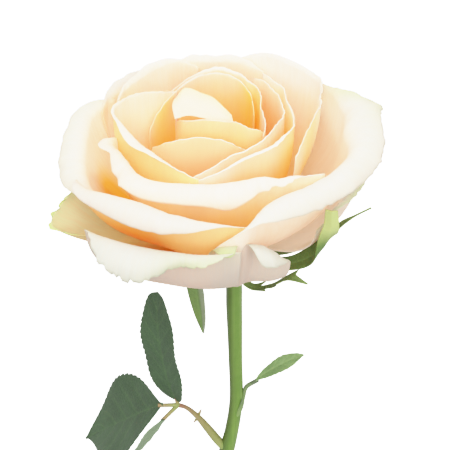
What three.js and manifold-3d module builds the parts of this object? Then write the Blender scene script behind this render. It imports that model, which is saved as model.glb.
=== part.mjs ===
// A cut rose, fully open, lying on its side with its cut stem end touching the table.
//
// The flower is drawn upright in its own frame, in millimetres: the origin is where the petals are rooted,
// +Z runs along the axis of the bloom, and -Y is the side that faces up once the rose is laid down. The last
// section turns it onto the table.
import * as THREE from 'three';
import { mergeVertices } from 'three/addons/utils/BufferGeometryUtils.js';
import Module from 'manifold-3d';

const wasm = await Module();
wasm.setup();

// Driving dimensions
const STEM_LENGTH = 250; // petals' root to the cut end
const STEM_RADIUS = { neck: 2.7, middle: 2.3, node: 2.8, cut: 2.9 };
const HIP_AXIS = [[0, 0, 0], [0, 0, -2.5], [1.4, 0, -7], [3.1, 0, -11.5], [4.6, 0, -16]];
const HIP_RADII = [4.8, 5.8, 6, 5.2, 3.7, 2.9];
const PETAL_THICKNESS = 0.8;
const LEAF_THICKNESS = 0.7;
const MIN_HALF_WIDTH = 0.5; // of a blade at its tip
const SEAM = 0.3; // clear gap between pieces that touch
const REST_TILT = 9; // the stem falls this much, in degrees, from the bloom to its cut end
const REST_DEPTH = 0.7; // how deep the lowest petals are pressed flat where the bloom rests
const LIP = 0.72; // share of a petal below its crest; the rest rolls outwards

const radians = THREE.MathUtils.degToRad;
const point = ([x, y, z]) => new THREE.Vector3(x, y, z);

// Petals, from the guards to the heart. Each crest is listed from one side of the petal to the other as
// [azimuth deg, reach, height, roll radius, roll angle deg]; azimuth 0 is +X, and 270 is the upper side.
// belly and rise place the swell below the crest, as shares of its reach and height. The petal over the heart
// crosses the axis, so it is listed as rows of points instead, from its root to its rim.
const PETALS = {
  guardLeftFront: {
    crest: [[219, 55, 28.5, 2, 160], [233, 53.6, 30, 5, 185], [246, 51.2, 30, 5.4, 190],
      [257, 50, 29.3, 3.4, 180], [268, 49, 28.6, 1.6, 160], [280, 47.5, 28, 0.8, 110]],
    belly: 0.93, rise: -0.25, ruffle: 0.6,
  },
  guardFront: {
    crest: [[263, 43, 27, 1, 80], [270, 43.4, 28.4, 3.2, 150], [277, 43.6, 29, 3, 150],
      [282, 44, 28.4, 0.5, 30], [287, 43, 27.4, 4, 170], [293, 43.4, 24.4, 4.2, 175],
      [299, 44, 19.5, 2.6, 160], [305, 43, 15.5, 1, 90]],
    belly: 0.97, rise: -0.38, ruffle: 0.3,
  },
  guardLeft: {
    crest: [[186, 43, 30, 0.8, 20], [196, 48, 29.8, 0.8, 30], [202, 54, 28, 1, 40],
      [206, 60, 24.5, 1.2, 50], [211, 56, 22.5, 1, 40], [218, 51, 22.5, 0.8, 30], [227, 47, 22, 0.8, 20]],
    belly: 0.62, rise: 0.1, ruffle: 1.1,
  },
  guardRight: {
    crest: [[324, 41, 20, 1, 60], [330, 43.5, 25, 1.5, 90], [338, 46, 27.8, 2.5, 110],
      [350, 48, 30.5, 2.5, 110], [364, 47, 31, 2, 90], [378, 46, 29, 1.5, 60]],
    belly: 0.95, rise: 0,
  },
  guardBackRight: {
    crest: [[18, 45, 30, 2, 90], [39, 47, 33, 4, 120], [62, 48, 33.5, 4, 130], [84, 46, 31, 2.5, 100]],
    belly: 0.9, rise: 0,
  },
  guardBackLeft: {
    crest: [[95, 46, 31, 2.5, 100], [118, 48, 33, 4, 130], [142, 47, 33, 4, 120], [165, 45, 30, 2, 90]],
    belly: 0.9, rise: 0,
  },
  outerLeft: {
    crest: [[146, 42, 41, 3, 60], [160, 45, 42, 4.5, 90], [174, 44.8, 41, 5, 110], [190, 45, 37.5, 5, 130],
      [203, 45.5, 34.5, 4.5, 130], [215, 44, 33, 3, 100]],
    belly: 0.78, rise: 0.25,
  },
  outerFront: {
    crest: [[200, 49.5, 36, 4, 130], [212, 49, 38.4, 3.6, 150], [224, 47, 41, 3.8, 170],
      [238, 44.6, 41.6, 4.6, 180], [252, 44.8, 40.8, 3.8, 180], [264, 44.2, 38.6, 2.6, 175],
      [285, 43, 34, 1, 120]],
    belly: 0.92, rise: 0.25,
  },
  outerRight: {
    crest: [[262, 46, 25, 1, 60], [281, 46, 35.5, 1.8, 120], [296, 40.8, 40, 4.5, 175],
      [318, 42.2, 42, 5, 180], [338, 45.6, 42.5, 5.5, 165], [352, 47, 42.5, 6.5, 145],
      [366, 46, 44, 8, 115], [382, 47.5, 45.2, 6, 95], [398, 47.5, 44, 4, 70]],
    belly: 0.95, rise: 0.15, tip: { azimuth: 5, length: 0.36 },
  },
  outerBack: {
    crest: [[34, 44, 41, 3, 60], [60, 43, 42, 4, 70], [85, 42, 42, 4, 70], [108, 42, 41, 3, 60]],
    belly: 0.92,
  },
  outerBackLeft: {
    crest: [[92, 41, 41, 3, 60], [115, 43, 42, 4, 80], [138, 43, 42, 4, 70], [158, 42, 41, 3, 60]],
    belly: 0.92,
  },
  cupFront: {
    crest: [[184, 34, 43, 3, 110], [194, 35.4, 43.8, 4.2, 150], [209, 35.6, 44.2, 4.2, 165],
      [231, 36.8, 44.6, 4.2, 170], [256, 32.8, 44.2, 4.4, 180], [280, 31.3, 44.2, 4.4, 180],
      [297, 32.5, 44.2, 3.4, 170], [312, 37.5, 44.2, 2.2, 150], [326, 42.5, 42.5, 1, 60]],
    ruffle: 0.5, tip: { azimuth: 276, length: 0.18 },
  },
  cupLeft: {
    crest: [[132, 19.5, 49, 0.5, 20], [146, 22, 50.5, 0.6, 30], [159, 26, 51.5, 0.8, 30],
      [171, 31, 52, 1, 40], [180, 34, 51, 1.5, 60], [193, 31.5, 49.5, 2.4, 100], [208, 29.6, 48.5, 3, 120],
      [226, 28.6, 47.5, 2.6, 110], [246, 30, 46.8, 1.6, 90], [260, 30.5, 45, 0.8, 60]],
    belly: 1.05,
  },
  cupBackLeft: {
    crest: [[100, 33.5, 47, 1.2, 50], [112, 35, 49.4, 1.6, 60], [126, 35.6, 49.8, 2.5, 70],
      [140, 34.6, 49.4, 2.5, 60], [156, 34.5, 49.4, 2, 50], [170, 34, 48, 1.5, 40]],
  },
  cupBack: {
    crest: [[62, 35.4, 46.5, 2, 50], [77, 35.6, 48.8, 2.5, 60], [92, 35.8, 48, 2.5, 60],
      [105, 36.6, 48.8, 2.5, 60], [118, 36, 46.5, 1.5, 40]],
  },
  cupRight: {
    crest: [[330, 30, 43, 1, 40], [352, 31.6, 48, 1, 40], [371, 35.3, 49.8, 1.5, 40],
      [393, 41, 48.5, 2, 50], [408, 41, 49.5, 2.5, 50], [426, 39.5, 50.5, 2, 50], [442, 36, 47, 1.5, 40]],
  },
  innerRightOuter: {
    crest: [[254, 34, 43, 0.8, 60], [264, 30.5, 44.5, 1, 80], [280, 25, 46, 1.8, 100],
      [294, 22.8, 46.5, 2, 100], [312, 23, 47.5, 2, 100], [330, 24.6, 48, 2, 90], [353, 26.2, 48, 1.2, 50],
      [377, 25.4, 49, 1, 30], [399, 27.5, 49.5, 1, 30], [418, 30, 49, 1, 30]],
    belly: 1.05,
  },
  innerRightInner: {
    crest: [[250, 30, 42, 0.6, 50], [264, 25.5, 44.5, 0.8, 70], [280, 20.5, 46, 1.2, 80],
      [297, 19.3, 46.5, 1.4, 80], [320, 19.8, 47.5, 1.2, 70], [342, 20.5, 48, 1, 50], [375, 23, 48, 1, 30],
      [404, 26, 48.5, 1, 30], [424, 28, 47, 0.8, 20]],
    belly: 1.08,
  },
  innerBack: {
    crest: [[336, 17, 45.5, 0.6, 30], [362, 16.3, 47, 0.8, 30], [385, 17, 48, 0.8, 30],
      [405, 20, 49.5, 0.8, 30], [422, 22.7, 50, 1, 40], [442, 26, 50, 1.5, 50], [461, 27.3, 48.5, 1.5, 50],
      [480, 25.6, 46, 1, 40], [498, 24, 43, 0.8, 30]],
    belly: 1.05,
  },
  innerFront: {
    crest: [[198, 22, 41, 0.5, 30], [214, 18, 45, 0.6, 30], [236, 14, 47.5, 0.8, 40],
      [260, 12.8, 48, 0.8, 40], [284, 13.2, 47, 0.8, 40], [302, 14, 44.5, 0.6, 30], [320, 16, 42, 0.5, 20]],
    belly: 1.3,
  },
  innerLeft: {
    crest: [[36, 15.5, 43, 0.6, 20], [48, 17.8, 46.5, 0.6, 20], [64, 20.8, 49, 0.8, 20],
      [82, 23.8, 50, 0.8, 20], [100, 23.5, 50.2, 0.8, 20], [114, 21.3, 50.2, 0.8, 30],
      [128, 19.6, 49.8, 0.8, 30], [143, 20, 47.5, 0.8, 30], [157, 21.2, 44, 0.8, 30],
      [169, 22.2, 39.5, 0.6, 30]],
    belly: 1.1,
  },
  heartFront: {
    crest: [[168, 13, 45, 0.5, 30], [190, 11.7, 48.5, 0.6, 40], [222, 8.4, 51, 0.8, 50],
      [250, 7.3, 52, 0.8, 60], [285, 7, 51.5, 0.8, 60], [317, 8.5, 50, 0.6, 50], [335, 14, 47.5, 0.5, 30],
      [348, 17.5, 44, 0.5, 20]],
    belly: 1.35, base: 4,
  },
  heartTongue: {
    rows: [
      [[-3, 1, 3], [-2, 0, 3], [-1, -0.5, 3], [0, -0.5, 3], [1, -0.5, 3], [3, 0, 3]],
      [[-9, 2, 30], [-6, 3.5, 30], [-3, 3.5, 30], [0, 3, 30], [2, 1, 30], [4, -1, 30]],
      [[-12, 2.5, 46], [-9, 4.5, 47], [-4.5, 3.5, 47], [-1, 2.5, 46.5], [2, -1, 45.5], [4.2, -2.5, 44]],
      [[-13, 3.5, 53], [-9.8, 5.4, 56], [-4.5, 3.8, 55], [-0.8, 2.6, 54], [2.8, -1.2, 52.5], [5, -2.4, 50.5]],
      [[-14.2, 0.2, 52.6], [-10, 0.8, 54.8], [-5, 0, 54], [-1, -1, 53], [2.6, -3.2, 51.2], [5.6, -3.4, 49.4]],
      [[-13.4, -3.4, 49.8], [-9, -3.2, 51], [-5, -4, 50.8], [-2, -4.6, 50.2], [2, -5, 49.4], [5.4, -4.4, 48]],
    ],
  },
  heartBack: {
    crest: [[30, 12, 34, 0.6, 30], [60, 15, 36, 0.8, 30], [90, 17, 37, 0.8, 30], [120, 16, 36, 0.8, 30],
      [150, 14, 34, 0.6, 30]],
    belly: 1.2, base: 4,
  },
  heartCore: {
    crest: [[300, 6, 32, 1, 40], [360, 7, 35, 1, 40], [420, 6, 34, 1, 40], [480, 7, 35, 1, 40],
      [540, 6, 34, 1, 40], [600, 6, 32, 1, 40]],
    belly: 1.2, base: 3,
  },
};

// Catmull-Rom curve through rows of numbers, t from 0 to 1.
function along(rows, t) {
  const spans = rows.length - 1;
  const place = Math.min(Math.max(t, 0), 1) * spans;
  const index = Math.min(Math.floor(place), spans - 1);
  const f = place - index;
  const row = (k) => {
    if (k < 0) return rows[0].map((value, j) => 2 * value - rows[1][j]);
    if (k > spans) return rows[spans].map((value, j) => 2 * value - rows[spans - 1][j]);
    return rows[k];
  };
  const [a, b, c, d] = [row(index - 1), row(index), row(index + 1), row(index + 2)];
  return b.map((value, j) => 0.5 * (2 * value + (c[j] - a[j]) * f
    + (2 * a[j] - 5 * value + 4 * c[j] - d[j]) * f ** 2
    + (3 * value - a[j] - 3 * c[j] + d[j]) * f ** 3));
}

// One point of a petal's middle surface: t runs across it, v from its root to its rim.
function petalPoint(petal, t, v) {
  if (petal.rows) return point(along(petal.rows.map((row) => along(row, t)), v));
  const { belly = 1, rise = 0.3, base = 5, root = 2, ruffle = 0, tip } = petal;
  const [azimuth, reach, height, rollRadius, rollAngle] = along(petal.crest, t);
  const side = Math.abs(2 * t - 1);
  const length = v * (1 - 0.22 * side ** 4); // round corners
  const roll = Math.max(rollRadius, 0.3);
  const turned = Math.min(1, rollAngle / 90);
  const lipR = reach - 0.4 * roll * turned;
  const lipZ = height - 0.8 * roll * turned;
  const swellR = base + belly * (lipR - base);
  const swellZ = root + rise * (lipZ - root);
  const b = Math.min(length / LIP, 1);
  let r = (1 - b) ** 2 * base + 2 * b * (1 - b) * swellR + b ** 2 * lipR;
  let z = (1 - b) ** 2 * root + 2 * b * (1 - b) * swellZ + b ** 2 * lipZ;
  const steep = Math.hypot(lipR - swellR, lipZ - swellZ);
  const [tangentR, tangentZ] = [(lipR - swellR) / steep, (lipZ - swellZ) / steep];
  let turn = Math.max(0, (length - LIP) / (1 - LIP));
  if (tip) {
    const away = ((azimuth - tip.azimuth + 540) % 360) - 180;
    turn *= 1 + tip.length * Math.exp(-((away / 6) ** 2));
  }
  const phi = turn * radians(rollAngle);
  r += roll * ((1 - Math.cos(phi)) * tangentZ + Math.sin(phi) * tangentR);
  z += roll * (-(1 - Math.cos(phi)) * tangentR + Math.sin(phi) * tangentZ);
  // Slow waves round the petal, and a finer ruffle at its rim.
  const arc = radians(azimuth) * reach / 10;
  const phase = petal.crest[0][0] * 0.37;
  const wave = 0.35 * b ** 2;
  r += wave * (Math.sin(1.1 * arc + phase) + 0.6 * Math.sin(2.3 * arc + 1.7 * phase));
  z += 0.8 * wave * Math.sin(1.7 * arc + 2.1 * phase);
  const frill = ruffle * Math.max(0, (length - 0.8) / 0.2) ** 1.5;
  r += frill * Math.sin(5 * arc + phase);
  z += 0.7 * frill * Math.cos(4 * arc + phase);
  const angle = radians(azimuth);
  return new THREE.Vector3(r * Math.cos(angle), r * Math.sin(angle), z);
}

// A closed sheet of even thickness round a grid of middle points, split into triangles alike on both faces.
function sheetGeometry(grid, thickness) {
  const rows = grid.length;
  const columns = grid[0].length;
  const positions = [];
  const corner = (i, j) => grid[Math.min(Math.max(i, 0), rows - 1)][Math.min(Math.max(j, 0), columns - 1)];
  for (const face of [1, -1]) {
    for (let i = 0; i < rows; i++) {
      for (let j = 0; j < columns; j++) {
        const up = corner(i + 1, j).clone().sub(corner(i - 1, j));
        const across = corner(i, j + 1).clone().sub(corner(i, j - 1));
        const normal = across.cross(up).normalize();
        positions.push(...grid[i][j].clone().addScaledVector(normal, face * thickness / 2).toArray());
      }
    }
  }
  const indices = [];
  const quad = (a, b, c, d) => indices.push(a, b, c, a, c, d);
  const back = rows * columns;
  for (let i = 0; i < rows - 1; i++) {
    for (let j = 0; j < columns - 1; j++) {
      const a = i * columns + j;
      const [b, c, d] = [a + 1, a + columns + 1, a + columns];
      quad(a, b, c, d);
      indices.push(back + a, back + c, back + b, back + a, back + d, back + c);
    }
  }
  for (let j = 0; j < columns - 1; j++) {
    const top = (rows - 1) * columns + j;
    quad(j, back + j, back + j + 1, j + 1);
    quad(top + 1, back + top + 1, back + top, top);
  }
  for (let i = 0; i < rows - 1; i++) {
    const left = i * columns;
    const right = left + columns - 1;
    quad(left + columns, back + left + columns, back + left, left);
    quad(right, back + right, back + right + columns, right + columns);
  }
  const geometry = new THREE.BufferGeometry();
  geometry.setAttribute('position', new THREE.Float32BufferAttribute(positions, 3));
  geometry.setIndex(indices);
  return geometry;
}

// A closed tube along points, its radii spread evenly over its length.
function tubeGeometry(points, radii, sides, steps) {
  const curve = new THREE.CatmullRomCurve3(points);
  const frames = curve.computeFrenetFrames(steps, false);
  const positions = [];
  for (let i = 0; i <= steps; i++) {
    const centre = curve.getPoint(i / steps);
    const [radius] = along(radii.map((value) => [value]), i / steps);
    for (let k = 0; k < sides; k++) {
      const angle = (k / sides) * 2 * Math.PI;
      const spoke = frames.normals[i].clone().multiplyScalar(Math.cos(angle))
        .addScaledVector(frames.binormals[i], Math.sin(angle));
      positions.push(...centre.clone().addScaledVector(spoke, radius).toArray());
    }
  }
  const ends = positions.length / 3;
  positions.push(...curve.getPoint(0).toArray(), ...curve.getPoint(1).toArray());
  const indices = [];
  for (let k = 0; k < sides; k++) {
    const next = (k + 1) % sides;
    for (let i = 0; i < steps; i++) {
      const [a, b] = [i * sides + k, i * sides + next];
      indices.push(a, b, b + sides, a, b + sides, a + sides);
    }
    indices.push(ends, next, k, ends + 1, steps * sides + k, steps * sides + next);
  }
  const geometry = new THREE.BufferGeometry();
  geometry.setAttribute('position', new THREE.Float32BufferAttribute(positions, 3));
  geometry.setIndex(indices);
  return geometry;
}

// Boolean helpers
function solid(geometry) {
  const bare = geometry.clone();
  bare.deleteAttribute('normal');
  bare.deleteAttribute('uv');
  const merged = mergeVertices(bare, 1e-4);
  const mesh = {
    numProp: 3,
    vertProperties: merged.attributes.position.array,
    triVerts: Uint32Array.from(merged.index.array),
  };
  const made = new wasm.Manifold(new wasm.Mesh(mesh));
  if (made.volume() > 0) return made;
  for (let i = 0; i < mesh.triVerts.length; i += 3) {
    [mesh.triVerts[i], mesh.triVerts[i + 1]] = [mesh.triVerts[i + 1], mesh.triVerts[i]];
  }
  return new wasm.Manifold(new wasm.Mesh(mesh));
}

function fuse(geometries) {
  return geometries.map(solid).reduce((whole, piece) => whole.add(piece));
}

// The largest body of a solid: loose scraps are dropped and hollows sealed by the joins are filled.
function mainBody(whole) {
  return whole.decompose().reduce((best, piece) => (piece.volume() > best.volume() ? piece : best));
}

function geometryOf(whole) {
  const { vertProperties, triVerts } = whole.getMesh();
  const geometry = new THREE.BufferGeometry();
  geometry.setAttribute('position', new THREE.Float32BufferAttribute(vertProperties, 3));
  geometry.setIndex(Array.from(triVerts));
  const faceted = geometry.toNonIndexed();
  faceted.computeVertexNormals();
  return faceted;
}

// Bloom: every petal rooted in one small receptacle
function petalGeometry(petal) {
  const stations = petal.crest ?? petal.rows[0];
  const rolled = petal.rows || Math.max(...stations.map((row) => row[4])) > 90;
  const heights = rolled ? [0, 0.3, 0.54, LIP, 0.79, 0.86, 0.93, 1] : [0, 0.25, 0.5, 0.75, 1];
  const columns = stations.length > 6 ? 9 : 7;
  const shares = Array.from({ length: columns + 1 }, (_, j) => j / columns);
  const grid = heights.map((v) => shares.map((t) => petalPoint(petal, t, v)));
  return sheetGeometry(grid, PETAL_THICKNESS);
}

function bloomSolid() {
  const profile = [[0, SEAM], [5.5, SEAM], [7.2, 2], [7, 5], [4.5, 9], [0, 10]];
  const receptacle = new THREE.LatheGeometry(profile.map(([r, z]) => new THREE.Vector2(r, z)), 20);
  receptacle.rotateX(Math.PI / 2);
  return mainBody(fuse([receptacle, ...Object.values(PETALS).map(petalGeometry)]));
}

// A leaflet or sepal: an outline along a bent midrib, folded a little along it, with cut edges.
// turn is the angle of its face about the midrib; halfWidth gives its half width at a share of the length.
function bladeGeometry({ from, to, arch, turn, fold, halfWidth, teeth, depth, steps }) {
  const start = new THREE.Vector3(...from);
  const end = new THREE.Vector3(...to);
  const axis = end.clone().sub(start);
  const length = axis.length();
  axis.normalize();
  const upright = new THREE.Vector3(0, -0.8, 0.6); // the way the face turns when turn is 0
  const side = axis.clone().cross(upright).normalize();
  const face = side.clone().cross(axis).normalize();
  side.applyAxisAngle(axis, radians(turn));
  face.applyAxisAngle(axis, radians(turn));
  const grid = [];
  for (let i = 0; i <= steps; i++) {
    const u = i / steps;
    const tooth = 1 - depth * ((i * teeth / steps) % 1) * Math.sin(Math.PI * u);
    const half = Math.max(halfWidth(u) * tooth, MIN_HALF_WIDTH);
    const middle = start.clone().addScaledVector(axis, u * length)
      .addScaledVector(face, arch * 4 * u * (1 - u));
    grid.push([-1, -0.5, 0, 0.5, 1].map((s) => middle.clone()
      .addScaledVector(side, s * half)
      .addScaledVector(face, fold * Math.abs(s) * half)));
  }
  return sheetGeometry(grid, LEAF_THICKNESS);
}

// Half the width of a blade at share u of its length; broadest is the share where it is widest.
function oval(width, broadest, fullness) {
  const power = Math.log(0.5) / Math.log(broadest);
  return (u) => width / 2 * Math.sin(Math.PI * u ** power) ** fullness;
}

// Calyx: the hip under the bloom and its five sepals
const SEPAL_STEPS = 20;
const SEPAL_FOLD = 0.25; // how far its edges lie back, as a share of their reach
const SEPALS = [
  { path: [[-4, -3, -3], [-7.5, -7.5, -8], [-6.5, -8, -19], [-5.3, -7.5, -30], [-4.5, -6.5, -38.5]],
    widths: [5, 7.6, 7, 4.6, 0.6] },
  { path: [[4, -4, -3], [9, -11, -11], [13, -13.5, -13], [18.5, -15, -11], [25.3, -17, -6],
    [31, -18, -7.5]],
    widths: [4.5, 4, 3.4, 3, 3.4, 0.5], lobes: [[0.4, 1, 3], [0.5, -1, 3.2], [0.63, -1, 5]] },
  { path: [[5, 0, -3], [22, -1, -7], [40, -1, 1.6], [43.5, -1, 5.4], [47.5, -0.5, 8.2], [52.7, 0, 11.1]],
    widths: [5, 4.5, 3.6, 2.6, 0.8, 0.5] },
  { path: [[4, -3, -3], [15, -8, -5.5], [25.5, -15, -1], [34.5, -23, 10.5], [37.5, -28, 22.5],
    [37.5, -30, 32]],
    widths: [4.5, 4.5, 5, 8, 5.5, 4], twist: [0, 20, 50, 30, -50, -60] },
  { path: [[-2, 5, -3], [-8, 13, -9], [-12, 17, -16], [-14, 18, -27]],
    widths: [6, 7, 4.5, 0.6], lobes: [[0.5, 1, 3], [0.62, -1, 3]] },
];

// A sepal along its path, twisted by degrees on the way; lobes are [share of its length, side, reach].
function sepalGeometry({ path, widths, twist = [0, 0], lobes = [] }) {
  const curve = new THREE.CatmullRomCurve3(path.map(point));
  const tip = path[path.length - 1];
  const round = new THREE.Vector3(-tip[1], tip[0], 0).normalize();
  const grid = [];
  for (let i = 0; i <= SEPAL_STEPS; i++) {
    const u = i / SEPAL_STEPS;
    const axis = curve.getTangent(u);
    const turn = radians(along(twist.map((value) => [value]), u)[0]);
    const face = round.clone().cross(axis).normalize().applyAxisAngle(axis, turn);
    const side = axis.clone().cross(face).normalize();
    const half = Math.max(along(widths.map((value) => [value]), u)[0] / 2, MIN_HALF_WIDTH);
    grid.push([-1, 0, 1].map((s) => {
      const lobe = lobes.find(([share, which]) => which === s && Math.round(share * SEPAL_STEPS) === i);
      const reach = lobe ? lobe[2] : 0;
      return curve.getPoint(u).addScaledVector(side, s * (half + reach)).addScaledVector(axis, reach)
        .addScaledVector(face, -SEPAL_FOLD * Math.abs(s) * half);
    }));
  }
  return sheetGeometry(grid, LEAF_THICKNESS);
}

function calyxSolid() {
  const hip = tubeGeometry(HIP_AXIS.map(point), HIP_RADII, 16, 10);
  return mainBody(fuse([hip, ...SEPALS.map(sepalGeometry)]));
}

// Stem, with a knee at the leaf node and prickles on its lower half
function stemPoints(endY) {
  const hip = new THREE.CatmullRomCurve3(HIP_AXIS.map(point));
  const start = hip.getPoint(1).addScaledVector(hip.getTangent(1), SEAM);
  const follow = start.clone().addScaledVector(hip.getTangent(1), 4);
  return [start, follow, ...[[6.3, 0, -32], [6.8, 0, -55], [7.1, 0, -76], [5.6, 0, -90], [3.6, 0, -101],
    [0.6, 0, -118], [-1, 0.2 * endY, -150], [-0.5, 0.6 * endY, -200], [1, endY, -STEM_LENGTH]].map(point)];
}

const { neck, middle, node, cut } = STEM_RADIUS;
const STEM_RADII = [neck, neck, middle + 0.2, middle, middle, middle + 0.2, node, middle + 0.3, middle + 0.3,
  cut, cut];
const PRICKLES = [[-128, 20], [-146, 215], [-163, 95], [-181, 330], [-199, 180], [-216, 60], [-231, 265]];

function prickleGeometry(points, [height, azimuth]) {
  const curve = new THREE.CatmullRomCurve3(points);
  let share = 0.5;
  for (let step = 0.25; step > 0.001; step /= 2) share += curve.getPoint(share).z > height ? step : -step;
  const root = curve.getPoint(share);
  const outward = new THREE.Vector3(Math.cos(radians(azimuth)), Math.sin(radians(azimuth)), 0);
  const spine = [root.clone().addScaledVector(outward, 1), root.clone().addScaledVector(outward, 4),
    root.clone().addScaledVector(outward, 6.5)];
  spine[2].z -= 2;
  return tubeGeometry(spine, [2, 1.1, 0.25], 6, 4);
}

function stemSolid(endY, extra = 0) {
  const points = stemPoints(endY);
  const trunk = tubeGeometry(points, STEM_RADII.map((radius) => radius + extra), 14, 44);
  if (extra) return solid(trunk);
  return fuse([trunk, ...PRICKLES.map((prickle) => prickleGeometry(points, prickle))]);
}

// Left leaf: a sheath and rachis with three leaflets
const JUNCTION = [-13.8, -8, -71];
const STALK_ENDS = [[-21, -8, -71.2], [-14.4, -8, -67.6], [-19.6, -9.3, -77.4]];
const LEAFLETS = [
  { from: [-19.5, -8.3, -70.3], to: [-49.3, 15.5, -108.7], arch: 0.6, turn: 39, fold: 0.21,
    halfWidth: oval(33, 0.43, 1.3) },
  { from: [-14.6, -8, -68.4], to: [-20.4, -1, -24.9], arch: 2.8, turn: -45, fold: 0.15,
    halfWidth: oval(16.5, 0.47, 0.33) },
  { from: [-18.9, -9.2, -76.6], to: [-41, -12, -102], arch: -2, turn: 97, fold: 0.16,
    halfWidth: oval(14, 0.38, 0.45) },
];

function leftLeafSolid() {
  const line = [[2.5, -0.5, -98], [0.3, -0.3, -95], [-3.6, -1.5, -87.5], [-7.2, -3.5, -80.2],
    [-11.1, -6.4, -73.5], JUNCTION].map(point);
  const rachis = tubeGeometry(line, [1.5, 1.6, 1.4, 1, 0.75, 0.85], 8, 12);
  const fork = point(JUNCTION);
  const stalks = STALK_ENDS.map(point).map((end) =>
    tubeGeometry([fork, fork.clone().lerp(end, 0.5), end], [0.8, 0.7, 0.7], 6, 2));
  const blades = LEAFLETS.map((leaflet) => bladeGeometry({ teeth: 14, depth: 0.1, steps: 28, ...leaflet }));
  return mainBody(fuse([rachis, ...stalks, ...blades]));
}

// Right leaf: a single small leaflet on a bent stalk
function rightLeafSolid() {
  const line = [[6.5, 0, -84], [8.6, 0, -80], [9.7, 0, -74], [10.8, -0.5, -69], [14.8, -1, -65.3]].map(point);
  const stalk = tubeGeometry(line, [1, 0.9, 0.8, 0.8, 0.8], 6, 8);
  const blade = bladeGeometry({
    from: [13.5, -1, -65.8], to: [31, -2, -52.5], arch: 1, turn: -35, fold: 0.25,
    halfWidth: oval(6, 0.6, 0.7), teeth: 8, depth: 0.08, steps: 16,
  });
  return mainBody(fuse([stalk, blade]));
}

// Laying the rose down: a turn about X brings the bloom's back and the stem's cut end onto the table.
const turnBack = radians(REST_TILT - 90);
const heightAbove = (y, z) => y * Math.sin(turnBack) + z * Math.cos(turnBack);
const bloom = bloomSolid();
const { vertProperties: bloomPoints } = bloom.getMesh();
let lowest = Infinity;
for (let i = 0; i < bloomPoints.length; i += 3) {
  lowest = Math.min(lowest, heightAbove(bloomPoints[i + 1], bloomPoints[i + 2]));
}
const tableHeight = lowest + REST_DEPTH;
// The cut end's middle lies a stem's radius above the table.
const stemEndY = (heightAbove(0, -STEM_LENGTH) - tableHeight - cut + SEAM) / -Math.sin(turnBack);

const slab = new THREE.BoxGeometry(400, 800, 100);
slab.translate(0, 0, tableHeight - 50);
slab.rotateX(-turnBack);
const table = solid(slab);

const clearStem = stemSolid(stemEndY, SEAM);
const SOLIDS = {
  bloom: bloom.subtract(table),
  calyx: calyxSolid(),
  stem: stemSolid(stemEndY).subtract(table),
  leaf_left: mainBody(leftLeafSolid().subtract(clearStem)),
  leaf_right: mainBody(rightLeafSolid().subtract(clearStem)),
};

const MATERIALS = {
  bloom: { color: 0xfbe6c8, roughness: 0.6 },
  calyx: { color: 0x6f9a4c, roughness: 0.6 },
  stem: { color: 0x6fa343, roughness: 0.45 },
  leaf_left: { color: 0x4d6b49, roughness: 0.65 },
  leaf_right: { color: 0x7fa860, roughness: 0.6 },
};

const rose = new THREE.Group();
const laid = new THREE.Group();
laid.rotation.x = turnBack;
rose.add(laid);
for (const [name, piece] of Object.entries(SOLIDS)) {
  const material = new THREE.MeshStandardMaterial({ metalness: 0, ...MATERIALS[name] });
  const mesh = new THREE.Mesh(geometryOf(piece), material);
  mesh.name = name;
  laid.add(mesh);
}
const box = new THREE.Box3().setFromObject(rose, true);
laid.position.set(-(box.min.x + box.max.x) / 2, -(box.min.y + box.max.y) / 2, -box.min.z);

export default rose;
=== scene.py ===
# A cut rose, fully open, lying on its side: its looks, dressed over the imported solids.
import math

import bpy
import numpy as np
from mathutils import Matrix, Vector


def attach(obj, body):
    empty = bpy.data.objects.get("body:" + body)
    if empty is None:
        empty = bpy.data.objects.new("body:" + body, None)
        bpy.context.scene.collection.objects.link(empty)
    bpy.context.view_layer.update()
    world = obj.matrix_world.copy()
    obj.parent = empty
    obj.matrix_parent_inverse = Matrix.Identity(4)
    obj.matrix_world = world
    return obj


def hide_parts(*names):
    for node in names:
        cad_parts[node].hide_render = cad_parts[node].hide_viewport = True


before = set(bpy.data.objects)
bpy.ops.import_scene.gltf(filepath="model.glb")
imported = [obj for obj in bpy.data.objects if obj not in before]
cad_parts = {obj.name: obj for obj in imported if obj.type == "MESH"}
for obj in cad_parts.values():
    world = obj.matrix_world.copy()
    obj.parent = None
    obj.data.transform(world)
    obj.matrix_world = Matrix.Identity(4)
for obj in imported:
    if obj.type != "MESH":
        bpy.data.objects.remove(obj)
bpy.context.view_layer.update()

# The rose's own frame is upright, in millimetres: the origin is where the petals are rooted, +Z runs along
# the bloom's axis, and -Y is the side that faces up once the rose lies on the table.
MM = 0.001
REST_TILT = 9  # degrees that the stem falls from the bloom to its cut end
PETAL_ROOT = (-1.60, 95.71, 42.09)  # its place in the frame
PRESS = 0.6  # height over the table below which a touching edge is pressed flat
LAID = np.array(Matrix.Rotation(math.radians(REST_TILT - 90), 3, "X"))

# Sizes in millimetres
STEM_LENGTH = 250
STEM_RADIUS = {"neck": 2.7, "middle": 2.3, "node": 2.8, "cut": 2.9}
SEAM = 0.3  # between pieces that grow together
ROOT_THICKNESS = 0.7  # of a petal, and then of its rim
RIM_THICKNESS = 0.28
LEAF_THICKNESS = 0.45

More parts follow.
